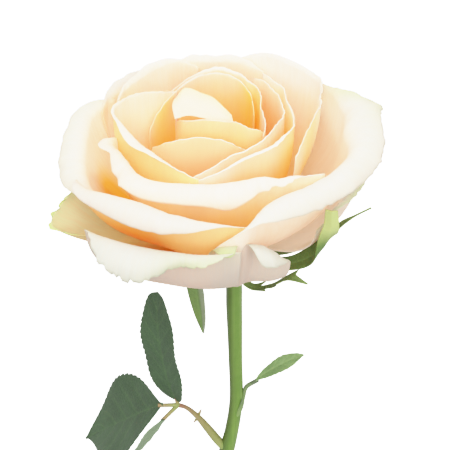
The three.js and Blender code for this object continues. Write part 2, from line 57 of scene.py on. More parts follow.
# Petals, from the guards to the heart. Each crest is listed from one side of the petal to the other as
# [azimuth deg, reach, height, roll radius, roll angle deg]; azimuth 0 is +X and 270 is the side that faces
# up. belly and rise place the swell below the crest, as shares of its reach and height, and base is how far
# from the axis the petal starts. The tongue has rows of places [x, y, z] instead, from its root to its rim.
# frills, tips, spots and glow are marks, each [azimuth, width deg, amount] and fading to both sides. ruffle
# is how deep the rim waves, frills are deeper waves, and tips roll further out by a share. ragged is how
# deep the rim is torn, as a share of the petal's length. warmth is how much apricot the petal holds inside,
# and back how much of its back has the back's own colour. glow is painted light: where its lower part is
# painted a deeper orange for the shade and bounced light in the gaps between petals. green is how much green
# its rim has kept, and spots are where it has kept more. look names its material where its layer's doesn't
# fit. What a petal leaves out is as in PLAIN_PETAL.
PLAIN_PETAL = dict(base=5, belly=1, rise=0.3, ruffle=0, frills=(), tips=(), ragged=0, warmth=1, back=0.75,
                   glow=(), green=0, spots=())
PETALS = {
    "guard_left_front": dict(
        crest=[[219, 55, 28.5, 2, 160], [233, 53.6, 30, 5.3, 185], [246, 51.2, 30, 6.3, 195],
               [257, 50, 29.3, 4, 185], [268, 49, 28.6, 1.6, 160], [280, 47.5, 28, 0.8, 110]],
        belly=0.93, rise=-0.25, ruffle=0.6, frills=[[257, 11, 1.7], [270, 10, 1.1]], ragged=0.03,
        warmth=0.75, green=0.12, spots=[[258, 9, 0.4], [268, 8, 0.5]]),
    "guard_front": dict(
        crest=[[267, 42, 24, 1, 80], [271, 43.4, 28, 3, 150], [277, 43.6, 29, 3, 150],
               [282, 44, 28.4, 0.5, 30], [287, 43, 27.4, 4, 170], [293, 43.4, 24.4, 4.2, 175],
               [299, 44, 19.5, 2.6, 160], [305, 43, 15.5, 1, 90]],
        belly=0.97, rise=-0.38, ruffle=0.3, warmth=0.2, green=0.15, spots=[[274, 6, 1.4]]),
    "guard_left": dict(
        crest=[[186, 43, 30, 0.8, 20], [196, 48, 29.8, 0.8, 30], [202, 54, 28, 1, 40],
               [206, 60, 24.5, 1.2, 50], [211, 56, 22.5, 1, 40], [218, 51, 22.5, 0.8, 30],
               [227, 47, 22, 0.8, 20], [246, 46, 21, 0.8, 20]],
        belly=0.62, rise=0.1, ruffle=1.3, ragged=0.08, look="crumpled", green=1.2, spots=[[206, 6, 1.2]],
        glow=[[230, 17, 0.75]]),
    "guard_right": dict(
        crest=[[324, 41, 20, 1, 60], [330, 43.5, 25, 1.5, 90], [338, 46, 27.8, 2.5, 110],
               [350, 48, 30.5, 2.5, 110], [364, 47, 31, 2, 90], [378, 46, 29, 1.5, 60]],
        belly=0.95, rise=0, warmth=0.05, green=0.7, back=0.5),
    "guard_back_right": dict(
        crest=[[18, 45, 30, 2, 90], [39, 47, 33, 4, 120], [62, 48, 33.5, 4, 130], [84, 46, 31, 2.5, 100]],
        belly=0.9, rise=0, warmth=0.2, green=0.6),
    "guard_back_left": dict(
        crest=[[79, 43, 29, 2, 60], [87, 44.6, 30, 2.2, 80], [97, 46, 31, 2.5, 100], [118, 48, 33, 4, 130],
               [142, 47, 33, 4, 120], [165, 45, 30, 2, 90]],
        belly=0.9, rise=0, warmth=0.2, green=0.6),
    "outer_left": dict(
        crest=[[146, 42, 41, 3, 60], [160, 45, 42, 4.5, 90], [174, 44.8, 41, 5, 110],
               [190, 45, 37.5, 5, 130], [203, 45.5, 34.5, 4.5, 130], [215, 44, 33, 3, 100]],
        belly=0.78, rise=0.25, warmth=0.4, green=0.2, glow=[[186, 10, 1.5]], back=0.4),
    "outer_front": dict(
        crest=[[200, 49.5, 36, 4, 130], [212, 49, 38.4, 3.6, 150], [224, 47, 41, 3.8, 170],
               [238, 44.6, 41.6, 4.6, 180], [252, 44.8, 40.8, 3.8, 180], [264, 44.2, 38.6, 2.6, 175],
               [285, 43, 34, 1, 120]],
        belly=0.92, rise=0.25, warmth=0.8, glow=[[226, 18, 0.9]], back=1),
    "outer_right": dict(
        crest=[[270, 45, 28, 1, 60], [281, 46, 35.5, 1.8, 120], [296, 40.8, 40, 4.5, 175],
               [318, 42.2, 42, 5, 180], [338, 45.6, 42.5, 5.5, 165], [352, 47, 42.5, 6.5, 145],
               [366, 46, 44, 8, 115], [382, 47.5, 45.2, 6, 95], [398, 47.5, 44, 4, 70]],
        belly=0.95, rise=0.15, ruffle=0.15, frills=[[8, 14, 1], [26, 10, 0.6]], ragged=0.014, warmth=0.12,
        green=0.12, tips=[[13, 5, 0.55]], spots=[[22, 14, 0.6]], back=0),
    "outer_back": dict(
        crest=[[34, 44, 41, 3, 60], [60, 43, 42, 4, 70], [85, 42, 42, 4, 70], [108, 42, 41, 3, 60]],
        belly=0.92, warmth=0.5),
    "outer_back_left": dict(
        crest=[[92, 41, 41, 3, 60], [115, 43, 42, 4, 80], [138, 43, 42, 4, 70], [158, 42, 41, 3, 60]],
        belly=0.92, warmth=0.2),
    "cup_front": dict(
        crest=[[184, 34, 43, 3, 110], [193, 35.8, 43.6, 4.2, 150], [204, 34.8, 44.4, 3.1, 130],
               [216, 35, 44.6, 3.4, 155], [231, 36.8, 44.6, 4.2, 170], [256, 32.8, 44.2, 4.4, 180],
               [280, 31.3, 44.2, 4.4, 180], [297, 32.5, 44.2, 3.4, 170], [312, 37.5, 44.2, 2.2, 150],
               [326, 42.5, 42.5, 1, 60]],
        warmth=0.9, ruffle=0.5, tips=[[276, 6, 0.18]], back=0.45),
    "cup_left": dict(
        crest=[[132, 19.5, 49, 0.5, 20], [146, 22, 50.5, 0.6, 30], [159, 26, 51.5, 0.8, 30],
               [171, 31, 52, 1, 40], [180, 34, 51, 1.5, 60], [193, 31.5, 49.5, 2.4, 100],
               [208, 29.6, 48.5, 3, 120], [226, 28.6, 47.5, 2.6, 110], [246, 30, 46.8, 1.6, 90],
               [260, 30.5, 45, 0.8, 60]],
        belly=1.05, warmth=0.6, back=1),
    "cup_back_left": dict(
        crest=[[100, 33.5, 47, 1.2, 50], [112, 35, 49.4, 1.6, 60], [126, 35.6, 49.8, 2.5, 70],
               [140, 34.6, 49.4, 2.5, 60], [156, 34.5, 49.4, 2, 50], [170, 34, 48, 1.5, 40]],
        warmth=0.8),
    "cup_back": dict(
        crest=[[62, 35.4, 46.5, 2, 50], [77, 35.6, 48.8, 2.5, 60], [92, 35.8, 48, 2.5, 60],
               [105, 36.6, 48.8, 2.5, 60], [118, 36, 46.5, 1.5, 40]],
        warmth=0.8),
    "cup_right": dict(
        crest=[[330, 30, 43, 1, 40], [352, 31.6, 48, 1, 40], [371, 35.3, 49.8, 1.5, 40],
               [393, 41, 48.5, 2, 50], [408, 41, 49.5, 2.5, 50], [426, 39.5, 50.5, 2, 50],
               [442, 36, 47, 1.5, 40]],
        warmth=0.6, glow=[[352, 12, 0.35]], back=0.4),
    "inner_right_outer": dict(
        crest=[[254, 30.5, 43, 0.8, 60], [264, 28.5, 44.5, 1, 80], [280, 25, 46, 1.8, 100],
               [294, 22.8, 46.5, 2, 100], [312, 23, 47.5, 2, 100], [330, 24.6, 48, 2, 90],
               [353, 26.2, 48, 1.2, 50], [377, 25.4, 49, 1, 30], [399, 27.5, 49.5, 1, 30],
               [418, 30, 49, 1, 30]],
        belly=1.05, warmth=0.8, glow=[[350, 25, 0.3]], back=0.15),
    "inner_right_inner": dict(
        crest=[[250, 30, 42, 0.6, 50], [264, 25.5, 44.5, 0.8, 70], [280, 20.5, 46, 1.2, 80],
               [297, 19.3, 46.5, 1.4, 80], [320, 19.8, 47.5, 1.2, 70], [342, 20.5, 48, 1, 50],
               [375, 23, 48, 1, 30], [404, 26, 48.5, 1, 30], [424, 28, 47, 0.8, 20]],
        belly=1.08, warmth=0.5, back=0.25),
    "inner_back": dict(
        crest=[[336, 17, 45.5, 0.6, 30], [362, 16.3, 47, 0.8, 30], [385, 17, 48, 0.8, 30],
               [405, 20, 49.5, 0.8, 30], [422, 22.7, 50, 1, 40], [442, 26, 50, 1.5, 50],
               [461, 27.3, 48.5, 1.5, 50], [480, 25.6, 46, 1, 40], [498, 24, 43, 0.8, 30]],
        belly=1.05, warmth=1.1, glow=[[40, 22, 0.5]]),
    "inner_front": dict(
        crest=[[198, 22, 41, 0.5, 30], [214, 18, 45, 0.6, 30], [236, 14, 47.5, 0.8, 40],
               [260, 12.8, 48, 0.8, 40], [284, 13.2, 47, 0.8, 40], [302, 14, 44.5, 0.6, 30],
               [320, 16, 42, 0.5, 20]],
        belly=1.3, warmth=1, back=0.95),
    "inner_left": dict(
        crest=[[36, 15.5, 43, 0.6, 20], [48, 17.8, 46.5, 0.6, 20], [64, 20.8, 49, 0.8, 20],
               [82, 23.8, 50, 0.8, 20], [100, 23.5, 50.2, 0.8, 20], [114, 21.3, 50.2, 0.8, 30],
               [128, 19.6, 49.8, 0.8, 30], [143, 20, 47.5, 0.8, 30], [157, 21.2, 44, 0.8, 30],
               [169, 22.2, 39.5, 0.6, 30]],
        belly=1.1, warmth=1.1, glow=[[50, 16, 0.8], [150, 14, 0.5]]),
    "heart_front": dict(
        crest=[[168, 13, 45, 0.5, 30], [190, 11.7, 48.5, 0.6, 40], [222, 8.4, 51, 0.8, 50],
               [250, 7.3, 52, 0.8, 60], [285, 7, 51.5, 0.8, 60], [317, 8.5, 50, 0.6, 50],
               [335, 14, 47.5, 0.5, 30], [348, 17.5, 44, 0.5, 20]],
        belly=1.35, base=4, warmth=1, back=0.5),
    "heart_tongue": dict(
        rows=[[[-3, 1, 3], [-2, 0, 3], [-1, -0.5, 3], [0, -0.5, 3], [1, -0.5, 3], [3, 0, 3]],
              [[-9, 2, 30], [-6, 3.5, 30], [-3, 3.5, 30], [0, 3, 30], [2, 1, 30], [4, -1, 30]],
              [[-12, 2.5, 46], [-9, 4.5, 47], [-4.5, 3.5, 47], [-1, 2.5, 46.5], [2, -1, 45.5],
               [4.2, -2.5, 44]],
              [[-13, 3.5, 53], [-9.8, 5.4, 56], [-4.5, 3.8, 55], [-0.8, 2.6, 54], [2.8, -1.2, 52.5],
               [5, -2.4, 50.5]],
              [[-14.2, 0.2, 52.6], [-10, 0.8, 54.8], [-5, 0, 54], [-1, -1, 53], [2.6, -3.2, 51.2],
               [5.6, -3.4, 49.4]],
              [[-13.4, -3.4, 49.8], [-9, -3.2, 51], [-5, -4, 50.8], [-2, -4.6, 50.2], [2, -5, 49.4],
               [5.4, -4.4, 48]]],
        warmth=0.4),
    "heart_back": dict(
        crest=[[30, 12, 34, 0.6, 30], [60, 15, 36, 0.8, 30], [90, 17, 37, 0.8, 30], [120, 16, 36, 0.8, 30],
               [150, 14, 34, 0.6, 30]],
        belly=1.2, base=4, warmth=1.2),
    "heart_core": dict(
        crest=[[300, 6, 32, 1, 40], [360, 7, 35, 1, 40], [420, 6, 34, 1, 40], [480, 7, 35, 1, 40],
               [540, 6, 34, 1, 40], [600, 6, 32, 1, 40]],
        belly=1.2, base=3, warmth=1.2),
}


# Mesh helpers
def pressed(places):
    """Places in the frame, in metres, with what would touch the table pressed flat on it."""
    limit = PRESS * MM
    low = places[:, 2] < limit
    places[low, 2] = limit * np.exp(places[low, 2] / limit - 1)
    return places


def laid(points):
    """Points of the upright rose, in millimetres, as places in the frame, in metres."""
    return pressed((np.asarray(points, float) @ LAID.T + np.array(PETAL_ROOT)) * MM)


def mesh_object(name, points, edges=(), faces=(), values=None, uv=None):
    mesh = bpy.data.meshes.new(name)
    mesh.from_pydata(laid(points).tolist(), list(edges), list(faces))
    for key, column in (values or {}).items():
        column = np.asarray(column, np.float32)
        kind, field = ("FLOAT", "value") if column.ndim == 1 else ("FLOAT_VECTOR", "vector")
        mesh.attributes.new(key, kind, "POINT").data.foreach_set(field, column.ravel())
    if uv is not None:
        corners = np.empty(len(mesh.loops), int)
        mesh.loops.foreach_get("vertex_index", corners)
        mesh.uv_layers.new(name="UVMap").data.foreach_set("uv", np.asarray(uv)[corners].ravel())
    if faces:
        mesh.shade_smooth()
    made = bpy.data.objects.new(name, mesh)
    bpy.context.scene.collection.objects.link(made)
    return made


def dress(made, node):
    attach(made, "root")
    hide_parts(node)
    return made


def along(rows, t):
    """Catmull-Rom curve through rows of numbers, at shares t of its length in rows."""
    rows = np.asarray(rows, float)
    padded = np.vstack([2 * rows[0] - rows[1], rows, 2 * rows[-1] - rows[-2]])
    place = np.clip(t, 0, 1) * (len(rows) - 1)
    index = np.minimum(place.astype(int), len(rows) - 2)
    f = (place - index)[:, None]
    a, b, c, d = (padded[index + k] for k in range(4))
    return 0.5 * (2 * b + (c - a) * f + (2 * a - 5 * b + 4 * c - d) * f**2 + (3 * b - a - 3 * c + d) * f**3)


def values_along(values, t):
    """Single values run through in the same way."""
    return along([[value] for value in values], t)[:, 0]


def route(points, steps):
    """Centripetal Catmull-Rom curve through points, as steps + 1 places."""
    points = np.asarray(points, float)
    padded = np.vstack([2 * points[0] - points[1], points, 2 * points[-1] - points[-2]])
    places = []
    for share in np.linspace(0, len(points) - 1, steps + 1):
        index = min(int(share), len(points) - 2)
        f = share - index
        p = padded[index : index + 4]
        gap = np.sqrt(np.linalg.norm(np.diff(p, axis=0), axis=1))
        slope = [(p[k + 1] - p[k]) / gap[k] for k in range(3)]
        skip = [(p[k + 2] - p[k]) / (gap[k] + gap[k + 1]) for k in range(2)]
        out = (slope[0] - skip[0] + slope[1]) * gap[1]
        into = (slope[1] - skip[1] + slope[2]) * gap[1]
        places.append(p[1] + out * f + (3 * (p[2] - p[1]) - 2 * out - into) * f**2
                      + (2 * (p[1] - p[2]) + out + into) * f**3)
    return np.array(places)


def unit(vectors):
    return vectors / np.maximum(np.linalg.norm(vectors, axis=-1, keepdims=True), 1e-9)


def sheet(grid, thickness):
    """A closed sheet round a grid of middle points, its thickness given at each. Vertices, faces."""
    rows, columns = grid.shape[:2]
    normal = unit(np.cross(np.gradient(grid, axis=1), np.gradient(grid, axis=0)))
    offset = normal * np.asarray(thickness)[..., None] / 2
    points = np.vstack([(grid + offset).reshape(-1, 3), (grid - offset).reshape(-1, 3)])
    index = np.arange(rows * columns).reshape(rows, columns)
    a, b, c, d = index[:-1, :-1], index[:-1, 1:], index[1:, 1:], index[1:, :-1]
    front = np.stack([a, b, c, d], -1).reshape(-1, 4)
    back = front[:, ::-1] + rows * columns
    loop = np.concatenate([index[0, :], index[1:, -1], index[-1, -2::-1], index[-2:0:-1, 0]])
    after = np.roll(loop, -1)
    rim = np.stack([after, loop, loop + rows * columns, after + rows * columns], -1)
    return points, np.vstack([front, back, rim]).tolist()


def twice(grid):
    """A value at each middle point, for both faces of its sheet."""
    return np.concatenate([grid.ravel(), grid.ravel()])


def make_sheet(name, grid, thickness, values, uv, material, node):
    """A piece that is a closed sheet, with values and UV places at its points."""
    points, faces = sheet(grid, thickness)
    both_sides = np.stack([twice(part) for part in uv], -1)
    made = mesh_object(name, points, faces=faces, values=values, uv=both_sides)
    made.data.materials.append(material)
    return dress(made, node)


# Petals
PETAL_COLUMNS = 72
PETAL_ROWS = 60
BASE_HEIGHT = 2  # how far up the axis a petal starts
LIP = 0.72  # share of a petal's length up to its lip, where it starts to roll outwards
LIP_INSIDE = 0.4  # how far inside and below the crest the lip is, as shares of the roll's radius
LIP_BELOW = 0.8
LEAST_ROLL = 0.3
SHORTER_SIDES = 0.22  # share of its length that a petal lacks at its sides
BROAD_WAVE = 0.35  # depths of a petal's waves
FINE_WAVE = 0.12
RIB = 0.05
RIBS = 23
FINE_FROM = 0.55  # how far up a petal its fine waves start, and its frills
FRILLS_FROM = 0.8


def marked(petal, key, azimuth):
    """The sum of a petal's marks of one kind at each azimuth."""
    total = np.zeros(azimuth.shape)
    for at, width, amount in petal[key]:
        away = (azimuth - at + 180) % 360 - 180
        total += amount * np.exp(-((away / width) ** 2))
    return total


def petal_waves(petal, azimuth, reach, t, v, length):
    """How far a petal's broad waves, frills, fine waves and ribs move it outwards and upwards.

    arc is in centimetres round the bloom, and the waves' numbers for it are unlike so that they don't repeat.
    """
    arc = np.radians(azimuth) * reach / 10
    phase = 0.37 * petal["crest"][0][0]
    broad = BROAD_WAVE * np.minimum(length / LIP, 1) ** 2
    outwards = broad * (np.sin(1.1 * arc + phase) + 0.6 * np.sin(2.3 * arc + 1.7 * phase))
    upwards = 0.8 * broad * np.sin(1.7 * arc + 2.1 * phase)
    edge = np.maximum(0, (length - FRILLS_FROM) / (1 - FRILLS_FROM)) ** 1.5
    frill = edge * (petal["ruffle"] + marked(petal, "frills", azimuth))
    outwards += frill * np.sin(5 * arc + phase)
    upwards += 0.7 * frill * np.cos(4 * arc + phase)
    fine = FINE_WAVE * np.maximum(0, (length - FINE_FROM) / (1 - FINE_FROM))
    outwards += fine * (np.sin(7.3 * arc + 2 * phase) + np.sin(11.9 * arc + 3.1 * phase + 4 * v))
    upwards += fine * np.sin(9.1 * arc + 1.3 * phase)
    outwards += RIB * np.sin(2 * math.pi * RIBS * t + 3 * np.sin(3 * v + phase)) * np.minimum(1, 3 * v)
    return outwards, upwards


def petal_grid(petal):
    """The petal's middle surface, with its t across and its share of the length at each point."""
    t, v = np.meshgrid(np.linspace(0, 1, PETAL_COLUMNS + 1), np.linspace(0, 1, PETAL_ROWS + 1))
    if "rows" in petal:
        across = np.stack([along(row, t[0]) for row in petal["rows"]])
        lofted = along(across.reshape(len(across), -1), v[:, 0]).reshape(*t.shape, 3)
        return lofted, t, v
    crest = along(petal["crest"], t[0])
    azimuth, reach, height, roll, roll_angle = (np.tile(column, (len(v), 1)) for column in crest.T)
    side = np.abs(2 * t - 1)
    torn = np.abs(np.sin(0.97 * azimuth) + 0.7 * np.sin(2.3 * azimuth + 1)) / 1.7
    length = v * (1 - SHORTER_SIDES * side**4 - petal["ragged"] * torn)

    # From its base to its lip the petal swells out on a curve
    roll = np.maximum(roll, LEAST_ROLL)
    turned = np.minimum(1, roll_angle / 90)
    lip_r = reach - LIP_INSIDE * roll * turned
    lip_z = height - LIP_BELOW * roll * turned
    base = petal["base"]
    swell_r = base + petal["belly"] * (lip_r - base)
    swell_z = BASE_HEIGHT + petal["rise"] * (lip_z - BASE_HEIGHT)
    b = np.minimum(length / LIP, 1)
    r = (1 - b) ** 2 * base + 2 * b * (1 - b) * swell_r + b**2 * lip_r
    z = (1 - b) ** 2 * BASE_HEIGHT + 2 * b * (1 - b) * swell_z + b**2 * lip_z

    # Past its lip it rolls outwards on a circle
    steep = np.hypot(lip_r - swell_r, lip_z - swell_z)
    tangent_r, tangent_z = (lip_r - swell_r) / steep, (lip_z - swell_z) / steep
    turn = np.maximum(0, (length - LIP) / (1 - LIP)) * (1 + marked(petal, "tips", azimuth))
    phi = turn * np.radians(roll_angle)
    r += roll * ((1 - np.cos(phi)) * tangent_z + np.sin(phi) * tangent_r)
    z += roll * (-(1 - np.cos(phi)) * tangent_r + np.sin(phi) * tangent_z)

    outwards, upwards = petal_waves(petal, azimuth, reach, t, v, length)
    r, z = r + outwards, z + upwards
    angle = np.radians(azimuth)
    return np.stack([r * np.cos(angle), r * np.sin(angle), z], -1), t, length


def make_petal(name, petal, material):
    grid, t, length = petal_grid(petal)
    thickness = ROOT_THICKNESS + (RIM_THICKNESS - ROOT_THICKNESS) * length**0.7
    up = np.broadcast_to(np.linspace(0, 1, PETAL_ROWS + 1)[:, None], t.shape)
    rim = np.minimum(1 - up, 0.6 * (1 - np.abs(2 * t - 1)))
    azimuth = np.degrees(np.arctan2(grid[..., 1], grid[..., 0]))
    values = {"along": twice(length), "rim": twice(rim),
              "outer": np.repeat([petal["back"], 0], t.size),
              "green": twice(petal["green"] + marked(petal, "spots", azimuth)),
              "glow": twice(marked(petal, "glow", azimuth)),
              "warmth": np.full(2 * t.size, petal["warmth"])}
    return make_sheet("petal_" + name, grid, thickness, values, (t, up), material, "bloom")


# Shader helpers
def put(tree, kind, inputs=None, **settings):
    """A node with its settings, and each input set to a value or linked to a socket."""
    made = tree.nodes.new(kind)
    for key, value in settings.items():
        setattr(made, key, value)
    for key, value in (inputs or {}).items():
        if isinstance(value, bpy.types.NodeSocket):
            tree.links.new(value, made.inputs[key])
        else:
            made.inputs[key].default_value = value
    return made


def math_of(tree, operation, a, b=0.0, clamp=False):
    return put(tree, "ShaderNodeMath", {0: a, 1: b}, operation=operation, use_clamp=clamp).outputs[0]


def ease(tree, value, low, high):
    """0 below low, 1 above high, and smooth between."""
    inputs = {"Value": value, "From Min": low, "From Max": high}
    return put(tree, "ShaderNodeMapRange", inputs, interpolation_type="SMOOTHSTEP").outputs[0]


def blend(tree, share, a, b):
    """A colour between a and b."""
    return put(tree, "ShaderNodeMix", {0: share, 6: a, 7: b}, data_type="RGBA").outputs[2]


def value_of(tree, name):
    """A value that the piece's own points hold."""
    return put(tree, "ShaderNodeAttribute", attribute_name=name).outputs["Fac"]


def group(name, sockets, outputs):
    """An empty shader group, with its input and output nodes."""
    tree = bpy.data.node_groups.new(name, "ShaderNodeTree")
    for key, (kind, value) in sockets.items():
        socket = tree.interface.new_socket(key, in_out="INPUT", socket_type=kind)
        if value is not None:
            socket.default_value = value
    for key, kind in outputs.items():
        tree.interface.new_socket(key, in_out="OUTPUT", socket_type=kind)
    return tree, tree.nodes.new("NodeGroupInput").outputs, tree.nodes.new("NodeGroupOutput").inputs


FLOAT, COLOUR, VECTOR = "NodeSocketFloat", "NodeSocketColor", "NodeSocketVector"


def use(tree, made, inputs):
    """A shader group placed in a material, its inputs set or linked."""
    return put(tree, "ShaderNodeGroup", inputs, node_tree=made).outputs


def petal_veins_group():
    """Fine, wavering veins that run up a petal."""
    tree, given, out = group("petal veins", {"UV": (VECTOR, None), "Count": (FLOAT, 40.0)},
                             {"Vein": FLOAT, "Height": FLOAT})
    stretch = put(tree, "ShaderNodeCombineXYZ", {"X": given["Count"], "Y": 4.0, "Z": 1.0}).outputs[0]
    warp = put(tree, "ShaderNodeTexNoise",
               {"Vector": given["UV"], "Scale": 5.0, "Detail": 2.0}).outputs["Color"]
    bent = put(tree, "ShaderNodeVectorMath", {0: warp, "Scale": 0.05}, operation="SCALE").outputs[0]
    moved = put(tree, "ShaderNodeVectorMath", {0: given["UV"], 1: bent}, operation="ADD").outputs[0]
    scaled = put(tree, "ShaderNodeVectorMath", {0: moved, 1: stretch}, operation="MULTIPLY").outputs[0]
    fine = put(tree, "ShaderNodeTexNoise", {"Vector": scaled, "Scale": 1.0, "Detail": 3.0}).outputs[0]
    away = math_of(tree, "ABSOLUTE", math_of(tree, "SUBTRACT", fine, 0.5))
    vein = ease(tree, away, 0.10, 0.0)
    tree.links.new(vein, out["Vein"])
    tree.links.new(math_of(tree, "MULTIPLY", vein, -1.0), out["Height"])
    return tree


FADE_LENGTH = 0.36  # share of a petal's length over which its root's colour fades
PALE_LENGTH = 0.2  # and over which its rim pales, or its painted glow ends
DRIFT = 0.22  # how far these wander up and down, cloud by cloud
# Orange of the painted glow, standing in for shaded gaps lit by light bounced off apricot petals
PAINTED_GLOW_ORANGE = (1.0, 0.60, 0.08)
VEIN_TINT = (0.9, 0.62, 0.36, 1)
AGED_GREEN = (0.62, 0.72, 0.32, 1)


def petal_tint_group():
    """A petal's colour: apricot at its root, paler upwards, nearly white at its rim, green where aged, and
    painted glow: a deeper orange low down for the shade and bounced light in gaps between petals.
    """
    sockets = {"Along": (FLOAT, 0.0), "Rim": (FLOAT, 1.0), "Warmth": (FLOAT, 1.0), "Green": (FLOAT, 0.0),
               "Outer": (FLOAT, 0.0), "Glow": (FLOAT, 0.0), "Vein": (FLOAT, 0.0), "Place": (VECTOR, None),
               "Fade": (FLOAT, 0.3), "Pale": (FLOAT, 0.62), "Glow top": (FLOAT, 0.95),
               "Streaks": (FLOAT, 0.06), "Root": (COLOUR, (1, 0.6, 0.2, 1)),
               "Middle": (COLOUR, (1, 0.8, 0.5, 1)), "Edge": (COLOUR, (0.97, 0.94, 0.88, 1)),
               "Back": (COLOUR, (0.9, 0.8, 0.7, 1)), "Ember": (COLOUR, (*PAINTED_GLOW_ORANGE, 1))}
    tree, given, out = group("petal tint", sockets, {"Color": COLOUR})
    cloud = put(tree, "ShaderNodeTexNoise",
                {"Vector": given["Place"], "Scale": 60.0, "Detail": 3.0}).outputs[0]
    drift = math_of(tree, "MULTIPLY", math_of(tree, "SUBTRACT", cloud, 0.5), DRIFT)
    height = math_of(tree, "ADD", given["Along"], drift)
    faded = ease(tree, height, given["Fade"], math_of(tree, "ADD", given["Fade"], FADE_LENGTH))
    inner = blend(tree, faded, given["Root"], given["Middle"])
    warmed = blend(tree, given["Warmth"], given["Middle"], inner)
    backed = blend(tree, given["Outer"], warmed, given["Back"])
    paled = ease(tree, height, given["Pale"], math_of(tree, "ADD", given["Pale"], PALE_LENGTH))
    tinted = blend(tree, paled, backed, given["Edge"])
    # Painted light: the lower part turns to the glow's orange where a petal lies in a shaded gap between
    # petals.
    glow_end = math_of(tree, "SUBTRACT", given["Glow top"], PALE_LENGTH)
    low = ease(tree, given["Along"], given["Glow top"], glow_end)
    glowing = blend(tree, math_of(tree, "MULTIPLY", low, given["Glow"], clamp=True), tinted, given["Ember"])
    veined = blend(tree, math_of(tree, "MULTIPLY", given["Vein"], given["Streaks"]), glowing, VEIN_TINT)
    upper = ease(tree, given["Along"], 0.6, 0.85)
    near = math_of(tree, "MULTIPLY", ease(tree, math_of(tree, "ADD", given["Rim"], drift), 0.22, 0.0), upper)
    aged = math_of(tree, "MULTIPLY", math_of(tree, "MULTIPLY", near, given["Green"]), 0.55, clamp=True)
    tree.links.new(blend(tree, aged, veined, AGED_GREEN), out["Color"])
    return tree


def mottle_group():
    """Patches on a skin or leaf, from large blotches to fine grain."""
    tree, given, out = group("mottle", {"Place": (VECTOR, None), "Scale": (FLOAT, 200.0)}, {"Patch": FLOAT})
    broad = put(tree, "ShaderNodeTexNoise",
                {"Vector": given["Place"], "Scale": given["Scale"], "Detail": 4.0}).outputs[0]
    finer = math_of(tree, "MULTIPLY", given["Scale"], 9.0)
    grain = put(tree, "ShaderNodeTexNoise",
                {"Vector": given["Place"], "Scale": finer, "Detail": 2.0}).outputs[0]
    both = math_of(tree, "ADD", math_of(tree, "MULTIPLY", broad, 0.7), math_of(tree, "MULTIPLY", grain, 0.3))
    tree.links.new(ease(tree, both, 0.3, 0.7), out["Patch"])
    return tree


def leaf_veins_group():
    """Net of fine veins between a leaf's side veins."""
    tree, given, out = group("leaf veins", {"UV": (VECTOR, None), "Cells": (FLOAT, 30.0)},
                             {"Vein": FLOAT, "Height": FLOAT})
    cells = put(tree, "ShaderNodeTexVoronoi", {"Vector": given["UV"], "Scale": given["Cells"]},
                feature="DISTANCE_TO_EDGE").outputs["Distance"]
    vein = ease(tree, cells, 0.09, 0.0)
    tree.links.new(vein, out["Vein"])
    tree.links.new(math_of(tree, "MULTIPLY", vein, -1.0), out["Height"])
    return tree


def streaks_group():
    """Fine streaks that run along the stem, whose line slopes in the frame by REST_TILT."""
    sockets = {"Place": (VECTOR, None), "Across": (FLOAT, 620.0), "Along": (FLOAT, 16.0)}
    tree, given, out = group("streaks", sockets, {"Streak": FLOAT})
    slope = math.radians(-REST_TILT)
    turned = put(tree, "ShaderNodeVectorRotate", {"Vector": given["Place"], "Angle": slope},
                 rotation_type="X_AXIS").outputs[0]
    stretch = put(tree, "ShaderNodeCombineXYZ",
                  {"X": given["Across"], "Y": given["Along"], "Z": given["Across"]}).outputs[0]
    drawn = put(tree, "ShaderNodeVectorMath", {0: turned, 1: stretch}, operation="MULTIPLY").outputs[0]
    noise = put(tree, "ShaderNodeTexNoise", {"Vector": drawn, "Scale": 1.0}).outputs[0]
    tree.links.new(ease(tree, noise, 0.4, 0.62), out["Streak"])
    return tree


GROUPS = {
    "petal veins": petal_veins_group(),
    "petal tint": petal_tint_group(),
    "mottle": mottle_group(),
    "leaf veins": leaf_veins_group(),
    "streaks": streaks_group(),
}


def shader(name, **constants):
    """A new material, its Principled shader with constants set on its own sockets."""
    material = bpy.data.materials.new(name)
    material.use_nodes = True
    tree = material.node_tree
    surface = tree.nodes["Principled BSDF"]
    for key, value in constants.items():
        surface.inputs[key.replace("_", " ")].default_value = value
    return material, tree, surface


def see_through(tree, surface, colour, share):
    """Mixes light that passes through the sheet into its surface."""
    through = put(tree, "ShaderNodeBsdfTranslucent", {"Color": colour})
    mixed = put(tree, "ShaderNodeMixShader", {0: share, 1: surface.outputs[0], 2: through.outputs[0]})
    tree.links.new(mixed.outputs[0], tree.nodes["Material Output"].inputs["Surface"])


def bumped(tree, surface, height, strength, distance):
    bump = put(tree, "ShaderNodeBump", {"Height": height, "Strength": strength, "Distance": distance})
    tree.links.new(bump.outputs[0], surface.inputs["Normal"])


def petal_material(name, root, middle, edge, back, fade, pale, glow_top=0.95, ember=PAINTED_GLOW_ORANGE, streaks=0.06):
    """Soft petal. root, middle, edge and back are colours, fade and pale where up the petal they change."""
    material, tree, surface = shader(name, Roughness=0.55, Sheen_Weight=0.15, Sheen_Roughness=0.4,
                                     Specular_IOR_Level=0.25)
    place = put(tree, "ShaderNodeTexCoord").outputs
    vein = use(tree, GROUPS["petal veins"], {"UV": place["UV"], "Count": 46.0})
    held = {key: value_of(tree, key.lower()) for key in ("Along", "Rim", "Warmth", "Green", "Glow", "Outer")}
    colours = {"Root": (*root, 1), "Middle": (*middle, 1), "Edge": (*edge, 1), "Back": (*back, 1),
               "Fade": fade, "Pale": pale, "Glow top": glow_top, "Ember": (*ember, 1), "Streaks": streaks}
    tint = use(tree, GROUPS["petal tint"],
               {"Vein": vein["Vein"], "Place": place["Object"], **held, **colours})["Color"]
    tree.links.new(tint, surface.inputs["Base Color"])
    bumped(tree, surface, vein["Height"], strength=0.25, distance=0.0002)
    see_through(tree, surface, tint, share=0.55)
    return material


